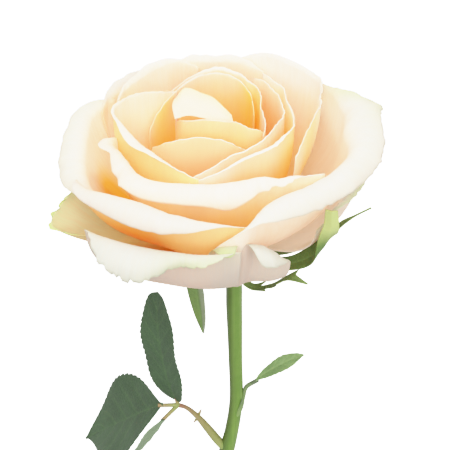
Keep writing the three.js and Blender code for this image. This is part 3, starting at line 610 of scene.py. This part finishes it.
def leaf_material(name, upper, vein_colour, under, roughness):
    """Leaf skin: a mottled upper side with paler veins, and its own colour underneath."""
    material, tree, surface = shader(name, Roughness=roughness, Specular_IOR_Level=0.35)
    place = put(tree, "ShaderNodeTexCoord").outputs
    net = use(tree, GROUPS["leaf veins"], {"UV": place["UV"], "Cells": 34.0})
    patch = use(tree, GROUPS["mottle"], {"Place": place["Object"], "Scale": 120.0})["Patch"]
    main = value_of(tree, "vein")
    darker = tuple(0.72 * channel for channel in upper)
    body = blend(tree, patch, (*darker, 1), (*upper, 1))
    netted = blend(tree, math_of(tree, "MULTIPLY", net["Vein"], 0.18), body, (*vein_colour, 1))
    ribbed = blend(tree, math_of(tree, "MULTIPLY", main, 0.4), netted, (*vein_colour, 1))
    both = blend(tree, value_of(tree, "under"), ribbed, (*under, 1))
    tree.links.new(both, surface.inputs["Base Color"])
    bumped(tree, surface, net["Height"], strength=0.35, distance=0.0002)
    see_through(tree, surface, both, share=0.12)
    return material


def skin_material(name, low, high, spot, roughness, scale=220.0):
    """Skin of a stem, hip, stalk or prickle, from colour low to high along it, with streaks and patches of
    colour spot, and with painted shade darkening the side that a piece marks as shaded."""
    material, tree, surface = shader(name, Roughness=roughness, Specular_IOR_Level=0.4)
    place = put(tree, "ShaderNodeTexCoord").outputs
    patch = use(tree, GROUPS["mottle"], {"Place": place["Object"], "Scale": scale})["Patch"]
    streak = use(tree, GROUPS["streaks"], {"Place": place["Object"]})["Streak"]
    body = blend(tree, value_of(tree, "along"), (*low, 1), (*high, 1))
    lined = blend(tree, math_of(tree, "MULTIPLY", streak, 0.4), body, (*spot, 1))
    mottled = blend(tree, math_of(tree, "MULTIPLY", patch, 0.3), lined, (*spot, 1))
    # Painted shade: a redder dark green on the stem's left side, as if the light fell from its right.
    shaded = math_of(tree, "MULTIPLY", ease(tree, value_of(tree, "painted_shade"), 0.3, 1.0), 0.75)
    mixed = blend(tree, shaded, mottled, (0.6 * low[0], 0.5 * low[1], 0.55 * low[2], 1))
    tree.links.new(mixed, surface.inputs["Base Color"])
    bumped(tree, surface, patch, strength=0.2, distance=0.0003)
    return material


# Geometry Nodes
def tree_of(name, sockets):
    """An empty geometry tree with named inputs, its input sockets and the output node's first input."""
    tree = bpy.data.node_groups.new(name, "GeometryNodeTree")
    tree.interface.new_socket("Geometry", in_out="INPUT", socket_type="NodeSocketGeometry")
    tree.interface.new_socket("Geometry", in_out="OUTPUT", socket_type="NodeSocketGeometry")
    for key, kind in sockets.items():
        tree.interface.new_socket(key, in_out="INPUT", socket_type=kind)
    given = tree.nodes.new("NodeGroupInput").outputs
    return tree, given, tree.nodes.new("NodeGroupOutput").inputs[0]


def finish_tree(tree, geometry, material, out):
    smooth = put(tree, "GeometryNodeSetShadeSmooth", {"Geometry": geometry}).outputs[0]
    real = put(tree, "GeometryNodeRealizeInstances", {"Geometry": smooth}).outputs[0]
    painted = put(tree, "GeometryNodeSetMaterial", {"Geometry": real, "Material": material}).outputs[0]
    tree.links.new(painted, out)


def tube_tree():
    """A closed tube along a line of points, each with its own radius."""
    sockets = {"Sides": "NodeSocketInt", "Material": "NodeSocketMaterial"}
    tree, given, out = tree_of("tube along a line", sockets)
    line = put(tree, "GeometryNodeMeshToCurve", {"Mesh": given["Geometry"]}).outputs[0]
    section = put(tree, "GeometryNodeCurvePrimitiveCircle", {"Resolution": given["Sides"], "Radius": 1.0})
    radius = put(tree, "GeometryNodeInputNamedAttribute", {"Name": "radius"}, data_type="FLOAT").outputs[0]
    swept = {"Curve": line, "Profile Curve": section.outputs[0], "Scale": radius, "Fill Caps": True}
    finish_tree(tree, put(tree, "GeometryNodeCurveToMesh", swept).outputs[0], given["Material"], out)
    return tree


def prickle_tree():
    """A hooked cone on each point, pointing along its outward vector and bent down the stem."""
    sockets = {"Length": "NodeSocketFloat", "Width": "NodeSocketFloat", "Hook": "NodeSocketFloat",
               "Seed": "NodeSocketInt", "Material": "NodeSocketMaterial"}
    tree, given, out = tree_of("prickles", sockets)
    cone = put(tree, "GeometryNodeMeshCone", {"Vertices": 14, "Side Segments": 8,
                                              "Radius Bottom": given["Width"], "Depth": given["Length"]})
    place = put(tree, "GeometryNodeInputPosition").outputs[0]
    parts = put(tree, "ShaderNodeSeparateXYZ", {0: place}).outputs
    share = math_of(tree, "DIVIDE", parts["Z"], given["Length"])
    flare = math_of(tree, "MULTIPLY", math_of(tree, "SUBTRACT", 1.0, share), 0.8)
    long_base = math_of(tree, "MULTIPLY", parts["X"], flare)
    hook = math_of(tree, "MULTIPLY", math_of(tree, "POWER", share, 2.0), given["Hook"])
    shift = put(tree, "ShaderNodeCombineXYZ", {"X": math_of(tree, "ADD", long_base, hook)}).outputs[0]
    bent = put(tree, "GeometryNodeSetPosition", {"Geometry": cone.outputs[0], "Offset": shift}).outputs[0]
    outward, down = (put(tree, "GeometryNodeInputNamedAttribute", {"Name": key},
                         data_type="FLOAT_VECTOR").outputs[0] for key in ("outward", "down"))
    turn = put(tree, "FunctionNodeAxesToRotation", {"Primary Axis": outward, "Secondary Axis": down},
               primary_axis="Z", secondary_axis="X").outputs[0]
    size = put(tree, "FunctionNodeRandomValue", {2: 0.85, 3: 1.15, "Seed": given["Seed"]},
               data_type="FLOAT").outputs[1]
    placed = put(tree, "GeometryNodeInstanceOnPoints",
                 {"Points": given["Geometry"], "Instance": bent, "Rotation": turn, "Scale": size}).outputs[0]
    finish_tree(tree, placed, given["Material"], out)
    return tree


def grown(base, tree, values):
    """The plain mesh that a geometry tree makes of base, which is removed."""
    modifier = base.modifiers.new("grow", "NODES")
    modifier.node_group = tree
    for item in tree.interface.items_tree:
        if item.in_out == "INPUT" and item.name in values:
            modifier[item.identifier] = values[item.name]
    seen = base.evaluated_get(bpy.context.evaluated_depsgraph_get())
    mesh = bpy.data.meshes.new_from_object(seen)
    places = np.empty(len(mesh.vertices) * 3, np.float32)
    mesh.vertices.foreach_get("co", places)
    mesh.vertices.foreach_set("co", pressed(places.reshape(-1, 3)).ravel())
    name = base.name
    base.modifiers.remove(modifier)
    bpy.data.objects.remove(base)
    made = bpy.data.objects.new(name, mesh)
    mesh.name = name
    bpy.context.scene.collection.objects.link(made)
    return made


TREES = {"tube": tube_tree(), "prickles": prickle_tree()}


def tube(name, points, radii, material, node, steps, sides):
    """A tube through points, in millimetres, its radii spread evenly over them."""
    line = route(points, steps)
    share = np.linspace(0, 1, steps + 1)
    radius = values_along(radii, share) * MM
    base = mesh_object(name, line, edges=[(k, k + 1) for k in range(steps)],
                       values={"radius": radius, "along": share})
    return dress(grown(base, TREES["tube"], {"Sides": sides, "Material": material}), node)


# Leaf blades
BLADE_COLUMNS = 40
ROWS_PER_TOOTH = 10
LEAST_HALF = 0.35  # half the width of a blade's pointed ends
MIDRIB_WIDTH = 0.55
MIDRIB_DEPTH = 0.3
QUILTING = 0.22  # how far the blade swells between its side veins
VEIN_CLIMB = 0.22  # share of the blade's length that a side vein climbs on its way out
VEIN_WIDTH = 0.09  # as a share of the space between two side veins
PATTERN_SIZE = 40  # millimetres of a blade for one UV unit


def oval(width, broadest, fullness):
    """Half the width of a blade at share u of its length: broadest is where it is widest."""
    power = math.log(0.5) / math.log(broadest)
    return lambda u: width / 2 * np.sin(np.pi * u**power) ** fullness


def blade_axes(start, end, turn):
    """The blade's own directions: from start to end, across, and out of its upper side, turned by degrees."""
    axis = unit(np.subtract(end, start))
    spin = np.array(Matrix.Rotation(math.radians(turn), 3, Vector(axis)))
    side = spin @ unit(np.cross(axis, (0, -0.8, 0.6)))
    return axis, side, np.cross(side, axis)


def make_blade(name, start, end, arch, turn, fold, outline, teeth, depth, material, node, slot, veins=7,
               wave=0.5):
    """A leaflet with a toothed edge, a sunk midrib and side veins, quilted a little between them.

    arch is the rise of its middle and wave that of its edge's waves, turn is in degrees, fold is how steeply
    its two sides rise, and depth is how deep its teeth are cut, as a share of half its width.
    """
    u, s = np.meshgrid(np.linspace(0, 1, teeth * ROWS_PER_TOOTH + 1), np.linspace(-1, 1, BLADE_COLUMNS + 1),
                       indexing="ij")
    start, end = np.array(start, float), np.array(end, float)
    length = np.linalg.norm(end - start)
    axis, side, face = blade_axes(start, end, turn)
    saw = (u * teeth) % 1
    toothed = 1 - depth * saw**1.6 * np.sin(np.pi * u) ** 0.3
    half = np.maximum(outline(np.clip(u, 0, 1)) * toothed, LEAST_HALF)
    lane = (u - VEIN_CLIMB * np.abs(s)) * veins
    near_vein = np.exp(-((((lane + 0.5) % 1 - 0.5) / VEIN_WIDTH) ** 2)) * (1 - np.abs(s) ** 3)
    midrib = np.exp(-((s * half / MIDRIB_WIDTH) ** 2)) * (1 - 0.6 * u)
    lift = arch * 4 * u * (1 - u) + fold * np.abs(s) * half - MIDRIB_DEPTH * midrib
    lift += QUILTING * np.abs(np.sin(np.pi * lane)) * (1 - s**2) * np.minimum(1, half / 4)
    lift += wave * np.sin(2 * np.pi * (2.2 * u + 0.15 * np.sign(s))) * s**2
    grid = start + (u * length)[..., None] * axis + (s * half)[..., None] * side + lift[..., None] * face
    thickness = LEAF_THICKNESS * (1 - 0.35 * np.abs(s)) + 0.35 * midrib
    values = {"under": np.repeat([0, 1], u.size), "vein": twice(np.clip(near_vein * 0.6 + midrib, 0, 1))}
    uv = (s * half / PATTERN_SIZE + 0.5, u * length / PATTERN_SIZE)
    return make_sheet(name, grid, thickness, values, uv, material, node)


# Sepals. path and widths run from the hip to the tip, lobes are [share of the length, side, reach], twist
# is in degrees along the path, and pale is the part that shows its paler inside.
SEPALS = {
    "down": dict(path=[[-4, -3, -3], [-7.5, -7.5, -8], [-6.5, -8, -19], [-5.3, -7.5, -30],
                       [-4.5, -6.5, -38.5]],
                 widths=[5, 7.6, 7, 4.6, 0.6], pale="right"),
    "lobed": dict(path=[[4, -4, -3], [9, -11, -11], [13, -13.5, -13], [18.5, -15, -11], [25.3, -17, -6],
                        [31, -18, -7.5]],
                  widths=[4.5, 3.6, 2.6, 2.4, 3.2, 0.4],
                  lobes=[[0.4, 1, 3], [0.5, -1, 3.2], [0.63, -1, 5], [0.8, 1, 2.4]]),
    "thin": dict(path=[[5, 0, -3], [22, -1, -7], [40, -1, 1.6], [43.5, -1, 5.4], [47.5, -0.5, 8.2],
                       [52.7, 0, 11.1]],
                 widths=[5, 4.5, 3.6, 2.6, 0.8, 0.5]),
    "hooked": dict(path=[[4, -3, -3], [15, -8, -5.5], [25.5, -15, -1], [34.5, -23, 10.5], [37.5, -28, 22.5],
                         [37.5, -30, 32]],
                   widths=[4.5, 4.5, 5, 8, 5.5, 4], twist=[0, 20, 50, 30, -50, -60], pale="end"),
    "back": dict(path=[[-2, 5, -3], [-8, 13, -9], [-12, 17, -16], [-14, 18, -27]],
                 widths=[6, 7, 4.5, 0.6], lobes=[[0.5, 1, 3], [0.62, -1, 3]]),
}
SEPAL_ROWS, SEPAL_COLUMNS = 160, 16
LOBE_WIDTH = 0.022  # as a share of the sepal's length
LOBE_LEAN = 0.9  # how far a lobe leans towards the tip, for its reach
SEPAL_THICKNESS = 0.6
SEPAL_THINNING = 0.25


def make_sepal(name, path, widths, material, lobes=(), twist=(0, 0), pale=None):
    """A sepal along its path, keeled, lobed and twisted."""
    u, s = np.meshgrid(np.linspace(0, 1, SEPAL_ROWS + 1), np.linspace(-1, 1, SEPAL_COLUMNS + 1),
                       indexing="ij")
    line = route(path, SEPAL_ROWS)
    axis = unit(np.gradient(line, axis=0))
    tip = path[-1]
    facing = unit(np.cross(unit(np.array([-tip[1], tip[0], 0.0])), axis))
    side = unit(np.cross(axis, facing))
    angle = np.radians(values_along(twist, u[:, 0]))[:, None]
    cosine, sine = np.cos(angle), np.sin(angle)
    side, facing = side * cosine - facing * sine, facing * cosine + side * sine
    half = np.maximum(values_along(widths, u[:, 0]) / 2, 0.3)[:, None] * np.ones(u.shape)
    lean = np.zeros(u.shape)
    for at, which, reach in lobes:
        lobe = reach * np.exp(-np.abs(u - at) / LOBE_WIDTH) * (s * which > 0) * np.abs(s)
        half += lobe
        lean += LOBE_LEAN * lobe
    keel = -0.25 * np.abs(s) * half
    grid = line[:, None, :] + (s * half)[..., None] * side[:, None, :] + keel[..., None] * facing[:, None, :]
    grid = grid + lean[..., None] * axis[:, None, :]
    thickness = SEPAL_THICKNESS - SEPAL_THINNING * np.abs(s)
    inside = {"right": np.clip(3 * s - 0.6, 0, 1), "end": np.clip(8 * (u - 0.68), 0, 1)}
    values = {"under": twice(inside.get(pale, np.full(u.shape, 0.15))),
              "vein": twice(np.exp(-((s * half / 0.4) ** 2)))}
    uv = (s * half / PATTERN_SIZE + 0.5, u)
    return make_sheet("sepal_" + name, grid, thickness, values, uv, material, "calyx")


# Materials
APRICOT = (1.0, 0.77, 0.41)
PEACH = (1.0, 0.77, 0.52)
# Painted shade: the guards' backs are their own pinkish beige darkened to a shaded grey-beige.
SHADED_BEIGE = (0.60, 0.56, 0.51)
PETAL_LOOKS = {
    "crumpled": petal_material(
        "crumpled guard petal", root=(1.0, 0.80, 0.38), middle=(0.82, 0.81, 0.55), edge=(0.66, 0.71, 0.46),
        back=SHADED_BEIGE, fade=0.2, pale=0.6, glow_top=1.4, streaks=0.2),
    # The guard and outer petals' edge colours are greyed a little below the petals' own cream: painted shade.
    "guard": petal_material(
        "guard petals", root=(1.0, 0.80, 0.44), middle=(1.0, 0.95, 0.87), edge=(0.78, 0.775, 0.72),
        back=SHADED_BEIGE, fade=0.25, pale=0.68),
    "outer": petal_material(
        "outer petals", root=(1.0, 0.83, 0.38), middle=(1.0, 0.93, 0.85), edge=(0.86, 0.825, 0.765),
        back=APRICOT, fade=0.36, pale=0.71, glow_top=0.66, ember=(1.0, 0.67, 0.14)),
    "cup": petal_material(
        "cup petals", root=(1.0, 0.82, 0.36), middle=(1.0, 0.95, 0.92), edge=(0.97, 0.875, 0.78),
        back=(1.0, 0.81, 0.41), fade=0.34, pale=0.72, ember=(1.0, 0.75, 0.12)),
    "inner": petal_material(
        "inner petals", root=(1.0, 0.82, 0.28), middle=(1.0, 0.92, 0.84), edge=(1.0, 0.94, 0.87),
        back=PEACH, fade=0.44, pale=0.8, ember=(1.0, 0.80, 0.12)),
    "heart": petal_material(
        "heart petals", root=(1.0, 0.82, 0.28), middle=(1.0, 0.89, 0.77), edge=(1.0, 0.88, 0.75),
        back=PEACH, fade=0.52, pale=0.78, ember=(1.0, 0.80, 0.12)),
}
STEM_GREEN = skin_material("stem skin", (0.100, 0.182, 0.023), (0.088, 0.165, 0.022), (0.165, 0.26, 0.05),
                           0.42)
HIP_GREEN = skin_material("hip skin", (0.22, 0.36, 0.10), (0.20, 0.38, 0.09), (0.32, 0.46, 0.16), 0.5)
STALK_RED = skin_material("leaf stalk", (0.19, 0.27, 0.07), (0.25, 0.11, 0.07), (0.27, 0.24, 0.10), 0.5)
STALK_DARK = skin_material("young leaf stalk", (0.20, 0.32, 0.08), (0.07, 0.09, 0.06), (0.18, 0.24, 0.10),
                           0.5)
RECEPTACLE = skin_material("receptacle", (0.42, 0.48, 0.20), (0.60, 0.52, 0.26), (0.50, 0.50, 0.24), 0.6)
PITH = skin_material("cut end", (0.50, 0.56, 0.30), (0.58, 0.62, 0.38), (0.36, 0.44, 0.20), 0.65,
                     scale=900.0)
THORN = skin_material("prickles", (0.46, 0.30, 0.14), (0.46, 0.30, 0.14), (0.60, 0.42, 0.22), 0.45)
SEPAL_GREEN = leaf_material("sepals", (0.125, 0.205, 0.042), (0.20, 0.32, 0.10), (0.48, 0.55, 0.20), 0.55)
SEPAL_GREY = leaf_material("folded sepal", (0.15, 0.225, 0.062), (0.20, 0.32, 0.10), (0.22, 0.26, 0.16), 0.55)
LEAF_DARK = leaf_material("dark leaf", (0.047, 0.090, 0.039), (0.09, 0.16, 0.06), (0.15, 0.22, 0.13), 0.5)
LEAF_PALE = leaf_material("pale leaf", (0.20, 0.29, 0.16), (0.26, 0.34, 0.19), (0.20, 0.27, 0.165), 0.55)
LEAF_YOUNG = leaf_material("young leaf", (0.23, 0.35, 0.14), (0.32, 0.46, 0.19), (0.28, 0.40, 0.2), 0.5)

# Bloom
for name, petal in PETALS.items():
    layer = name.split("_")[0]
    make_petal(name, {**PLAIN_PETAL, **petal}, PETAL_LOOKS[petal.get("look", layer)])

tube("receptacle", [[0, 0, -0.3], [0, 0, 1.5], [0, 0, 4]], [4.7, 5.1, 4.2], RECEPTACLE, "bloom",
     steps=12, sides=40)

# Calyx
LINE_STEPS = 400  # where a line is followed finely
HIP_AXIS = [[0, 0, 0], [0, 0, -2.5], [1.4, 0, -7], [3.1, 0, -11.5], [4.6, 0, -16]]
HIP_RADII = [4.8, 5.8, 6, 5.2, 3.7, 2.9]
tube("hip", HIP_AXIS, HIP_RADII, HIP_GREEN, "calyx", steps=24, sides=40)
for name, sepal in SEPALS.items():
    make_sepal(name, material=SEPAL_GREY if name == "down" else SEPAL_GREEN, **sepal)

# Stem
tilt = math.radians(REST_TILT)
STEM_END_Y = (PETAL_ROOT[2] - STEM_LENGTH * math.sin(tilt) - STEM_RADIUS["cut"] + SEAM) / math.cos(tilt)
hip_end = route(HIP_AXIS, LINE_STEPS)
leaving = unit(hip_end[-1] - hip_end[-2])
stem_start = hip_end[-1] + SEAM * leaving
STEM_LINE = [stem_start, stem_start + 4 * leaving, [6.3, 0, -32], [6.8, 0, -55], [7.1, 0, -76], [5.6, 0, -90],
             [3.6, 0, -101], [0.6, 0, -118], [-1, 0.2 * STEM_END_Y, -150], [-0.5, 0.6 * STEM_END_Y, -200],
             [1, STEM_END_Y, -STEM_LENGTH]]
neck, middle, bend, cut = (STEM_RADIUS[key] for key in ("neck", "middle", "node", "cut"))
STEM_RADII = [neck, neck + 0.1, middle + 0.5, middle + 0.15, middle + 0.1, middle + 0.2, bend, middle + 0.3,
              middle + 0.3, cut, cut]
STEM = tube("stem", STEM_LINE, STEM_RADII, STEM_GREEN, "stem", steps=160, sides=40)
PAINTED_SHADE_WIDTH = 5.2  # millimetres across the stem from no painted shade to full painted shade


def hold_painted_shade(made):
    """Marks the stem's left side for painted shade, its skin darker as if lit from the right, from 0 at its
    right edge to 1 at its left.
    """
    line = laid(route(STEM_LINE, LINE_STEPS))
    order = np.argsort(line[:, 1])
    places = np.empty(len(made.data.vertices) * 3, np.float32)
    made.data.vertices.foreach_get("co", places)
    places = places.reshape(-1, 3)
    middle_x = np.interp(places[:, 1], line[order, 1], line[order, 0])
    painted_shade = np.clip(0.5 - (places[:, 0] - middle_x) / (PAINTED_SHADE_WIDTH * MM), 0, 1)
    made.data.attributes.new("painted_shade", "FLOAT", "POINT").data.foreach_set("value", painted_shade.astype(np.float32))


hold_painted_shade(STEM)
SKIN_THICKNESS = 0.35  # round the pith, which starts inside the cut end and stands a little proud of it
PITH_INSIDE = 0.2
PITH_PROUD = 0.15
stem_end = np.array(STEM_LINE[-1], float)
onwards = unit(stem_end - np.array(STEM_LINE[-2], float))
tube("cut_end", [stem_end - PITH_INSIDE * onwards, stem_end + PITH_PROUD * onwards],
     [cut - SKIN_THICKNESS, cut - SKIN_THICKNESS], PITH, "stem", steps=2, sides=40)

# Prickles as [height, azimuth deg]
PRICKLES = [[-128, 20], [-146, 215], [-163, 95], [-181, 330], [-199, 180], [-216, 60], [-231, 265]]
PRICKLE_LENGTH = 4.9
PRICKLE_RADIUS = 1.7
PRICKLE_HOOK = 1.9
PRICKLE_SUNK = 0.6
PRICKLE_SEED = 3


def make_prickles():
    steps = 600
    line = route(STEM_LINE, steps)
    radius = values_along(STEM_RADII, np.linspace(0, 1, steps + 1))
    points, outward, down = [], [], []
    for height, azimuth in PRICKLES:
        k = int(np.argmin(np.abs(line[:, 2] - height)))
        away = np.array([math.cos(math.radians(azimuth)), math.sin(math.radians(azimuth)), 0])
        points.append(line[k] + away * (radius[k] - PRICKLE_SUNK))
        outward.append(LAID @ away)
        down.append(LAID @ unit(line[k + 1] - line[k]))
    base = mesh_object("prickles", points, values={"outward": outward, "down": down})
    values = {"Length": PRICKLE_LENGTH * MM, "Width": PRICKLE_RADIUS * MM, "Hook": PRICKLE_HOOK * MM,
              "Seed": PRICKLE_SEED, "Material": THORN}
    return dress(grown(base, TREES["prickles"], values), "stem")


make_prickles()

# Left leaf
JUNCTION = [-13.8, -8, -71]
RACHIS = [[2.5, -0.5, -98], [0.3, -0.3, -95], [-3.6, -1.5, -87.5], [-7.2, -3.5, -80.2], [-11.1, -6.4, -73.5],
          JUNCTION]
tube("rachis", RACHIS, [1.5, 1.6, 1.4, 1, 0.75, 0.85], STALK_RED, "leaf_left", steps=60, sides=20)
for name, start, tip in (("upper", [-6.8, -3.3, -80.8], [-5.6, -3.5, -77.4]),
                         ("lower", [-6.6, -3, -81.4], [-8.2, -3.4, -83.4])):
    tube("stipule_" + name, [start, tip], [0.8, 0.2], STALK_RED, "leaf_left", steps=8, sides=12)
for name, tip in (("terminal", [-21, -8, -71.2]), ("upper", [-14.4, -8, -67.6]),
                  ("lower", [-19.6, -9.3, -77.4])):
    midway = [(a + b) / 2 for a, b in zip(JUNCTION, tip)]
    tube("stalk_" + name, [JUNCTION, midway, tip], [0.8, 0.7, 0.7], STALK_RED, "leaf_left", steps=12,
         sides=14)

LEAFLETS = {
    "terminal": dict(start=[-19.5, -8.3, -70.3], end=[-49.3, 15.5, -108.7], arch=0.6, turn=39, fold=0.21,
                     outline=oval(33, 0.43, 1.3), teeth=22, depth=0.05, material=LEAF_DARK),
    "upper": dict(start=[-14.6, -8, -68.4], end=[-20.4, -1, -24.9], arch=2.8, turn=-45, fold=0.15,
                  outline=oval(16.5, 0.47, 0.33), teeth=19, depth=0.07, material=LEAF_DARK),
    "lower": dict(start=[-18.9, -9.2, -76.6], end=[-41, -12, -102], arch=-2, turn=97, fold=0.16,
                  outline=oval(14, 0.38, 0.45), teeth=16, depth=0.08, material=LEAF_PALE),
}
for name, leaflet in LEAFLETS.items():
    make_blade("leaflet_" + name, node="leaf_left", slot="leaf", **leaflet)

# Right leaf
YOUNG_STALK = [[6.5, 0, -84], [8.6, 0, -80], [9.7, 0, -74], [10.8, -0.5, -69], [14.8, -1, -65.3]]
tube("young_stalk", YOUNG_STALK, [1, 0.9, 0.8, 0.8, 0.8], STALK_DARK, "leaf_right", steps=30,
     sides=14)
BUD = [[7.2, -1.6, -82.5], [8.3, -2, -79], [9, -2, -76], [9.3, -1.8, -73.6]]
tube("bud", BUD, [0.5, 0.9, 0.6, 0.12], STALK_DARK, "leaf_right", steps=24, sides=16)
make_blade("young_leaflet", start=[13.5, -1, -65.8], end=[31, -2, -52.5], arch=1, turn=-35, fold=0.25,
           outline=oval(6, 0.6, 0.7), teeth=9, depth=0.08, material=LEAF_YOUNG, node="leaf_right",
           slot="young_leaf", veins=5, wave=0.2)

# Stage: a white table, and three soft lights on the bloom's open side
VIEW_SIDE = 450  # pixels
PIXELS_PER_MM = 2.92
ELEVATION = 37  # the camera's height over the plane of the petals' root, in degrees
DISTANCE = 750
AXIS_PIXEL = (216, 234)  # where the petals' root shows
SENSOR_WIDTH = 36
TABLE_REACH = 3.0
TABLE_GREY = (0.6, 0.6, 0.6, 1)
TABLE_GLOW = 1.2
SURROUND = 0.68  # strength of the light from all sides
LAMP_POWER = 4.2
LAMPS = {
    "open_side": dict(place=(-0.25, 0.95, 0.8), target=(0, 0.1, 0.04), size=(0.9, 0.7)),
    "camera_side": dict(place=(0.15, 0.45, 1.0), target=(0, 0.08, 0.04), size=(0.8, 0.6)),
    "bloom_axis": dict(place=(0.05, 1.25, 0.35), target=(0, 0.1, 0.05), size=(0.8, 0.6)),
}
WHITE = 1.5  # the light that is shown as white
TONES = ((0.07, 0.115), (0.3, 0.48), (0.7, 0.88), (0.9, 0.935), (1.3, 0.965))  # light, and how it is shown
BOUNCES = {"max_bounces": 24, "diffuse_bounces": 12, "transmission_bounces": 20}


def make_camera():
    elevation = math.radians(ELEVATION)
    right, up = np.array([1, 0, 0]), np.array([0, math.sin(elevation), math.cos(elevation)])
    back = np.array([0, -math.cos(elevation), math.sin(elevation)])
    across = (VIEW_SIDE / 2 - AXIS_PIXEL[0]) / PIXELS_PER_MM
    above = (AXIS_PIXEL[1] - VIEW_SIDE / 2) / PIXELS_PER_MM
    data = bpy.data.cameras.new("camera")
    data.sensor_width = SENSOR_WIDTH
    data.lens = PIXELS_PER_MM * DISTANCE * SENSOR_WIDTH / VIEW_SIDE
    data.clip_start, data.clip_end = 0.01, 20
    camera = bpy.data.objects.new("camera", data)
    bpy.context.scene.collection.objects.link(camera)
    place = right * across + up * above + back * DISTANCE
    camera.location = (place @ LAID.T + np.array(PETAL_ROOT)) * MM
    axes = np.stack([LAID @ right, LAID @ up, LAID @ back], 1)
    camera.rotation_euler = Matrix(axes.tolist()).to_euler()
    bpy.context.scene.camera = camera


def make_lamp(name, place, target, size):
    data = bpy.data.lights.new(name, "AREA")
    data.shape = "RECTANGLE"
    data.size, data.size_y = size
    data.energy = LAMP_POWER
    lamp = bpy.data.objects.new(name, data)
    bpy.context.scene.collection.objects.link(lamp)
    lamp.location = place
    lamp.rotation_euler = (Vector(target) - Vector(place)).to_track_quat("-Z", "Y").to_euler()


def make_table():
    material, tree, surface = shader("table top", Roughness=0.7, Base_Color=TABLE_GREY,
                                     Emission_Color=(1, 1, 1, 1))
    seen = put(tree, "ShaderNodeLightPath").outputs["Is Camera Ray"]
    tree.links.new(math_of(tree, "MULTIPLY", seen, TABLE_GLOW), surface.inputs["Emission Strength"])
    far = TABLE_REACH
    mesh = bpy.data.meshes.new("table")
    mesh.from_pydata([(-far, -far, 0), (far, -far, 0), (far, far, 0), (-far, far, 0)], [], [(0, 1, 2, 3)])
    floor = bpy.data.objects.new("table", mesh)
    bpy.context.scene.collection.objects.link(floor)
    mesh.materials.append(material)


def make_light():
    world = bpy.data.worlds.new("studio")
    bpy.context.scene.world = world
    world.use_nodes = True
    world.node_tree.nodes["Background"].inputs["Color"].default_value = (1, 1, 1, 1)
    world.node_tree.nodes["Background"].inputs["Strength"].default_value = SURROUND
    for name, lamp in LAMPS.items():
        make_lamp(name, **lamp)
    for key, count in BOUNCES.items():
        setattr(bpy.context.scene.cycles, key, count)


def set_tones():
    view = bpy.context.scene.view_settings
    view.view_transform = "Standard"
    view.use_curve_mapping = True
    view.curve_mapping.white_level = (WHITE,) * 3
    for light, shown in TONES:
        view.curve_mapping.curves[3].points.new(light / WHITE, shown)
    view.curve_mapping.update()


make_camera()
make_table()
make_light()
set_tones()
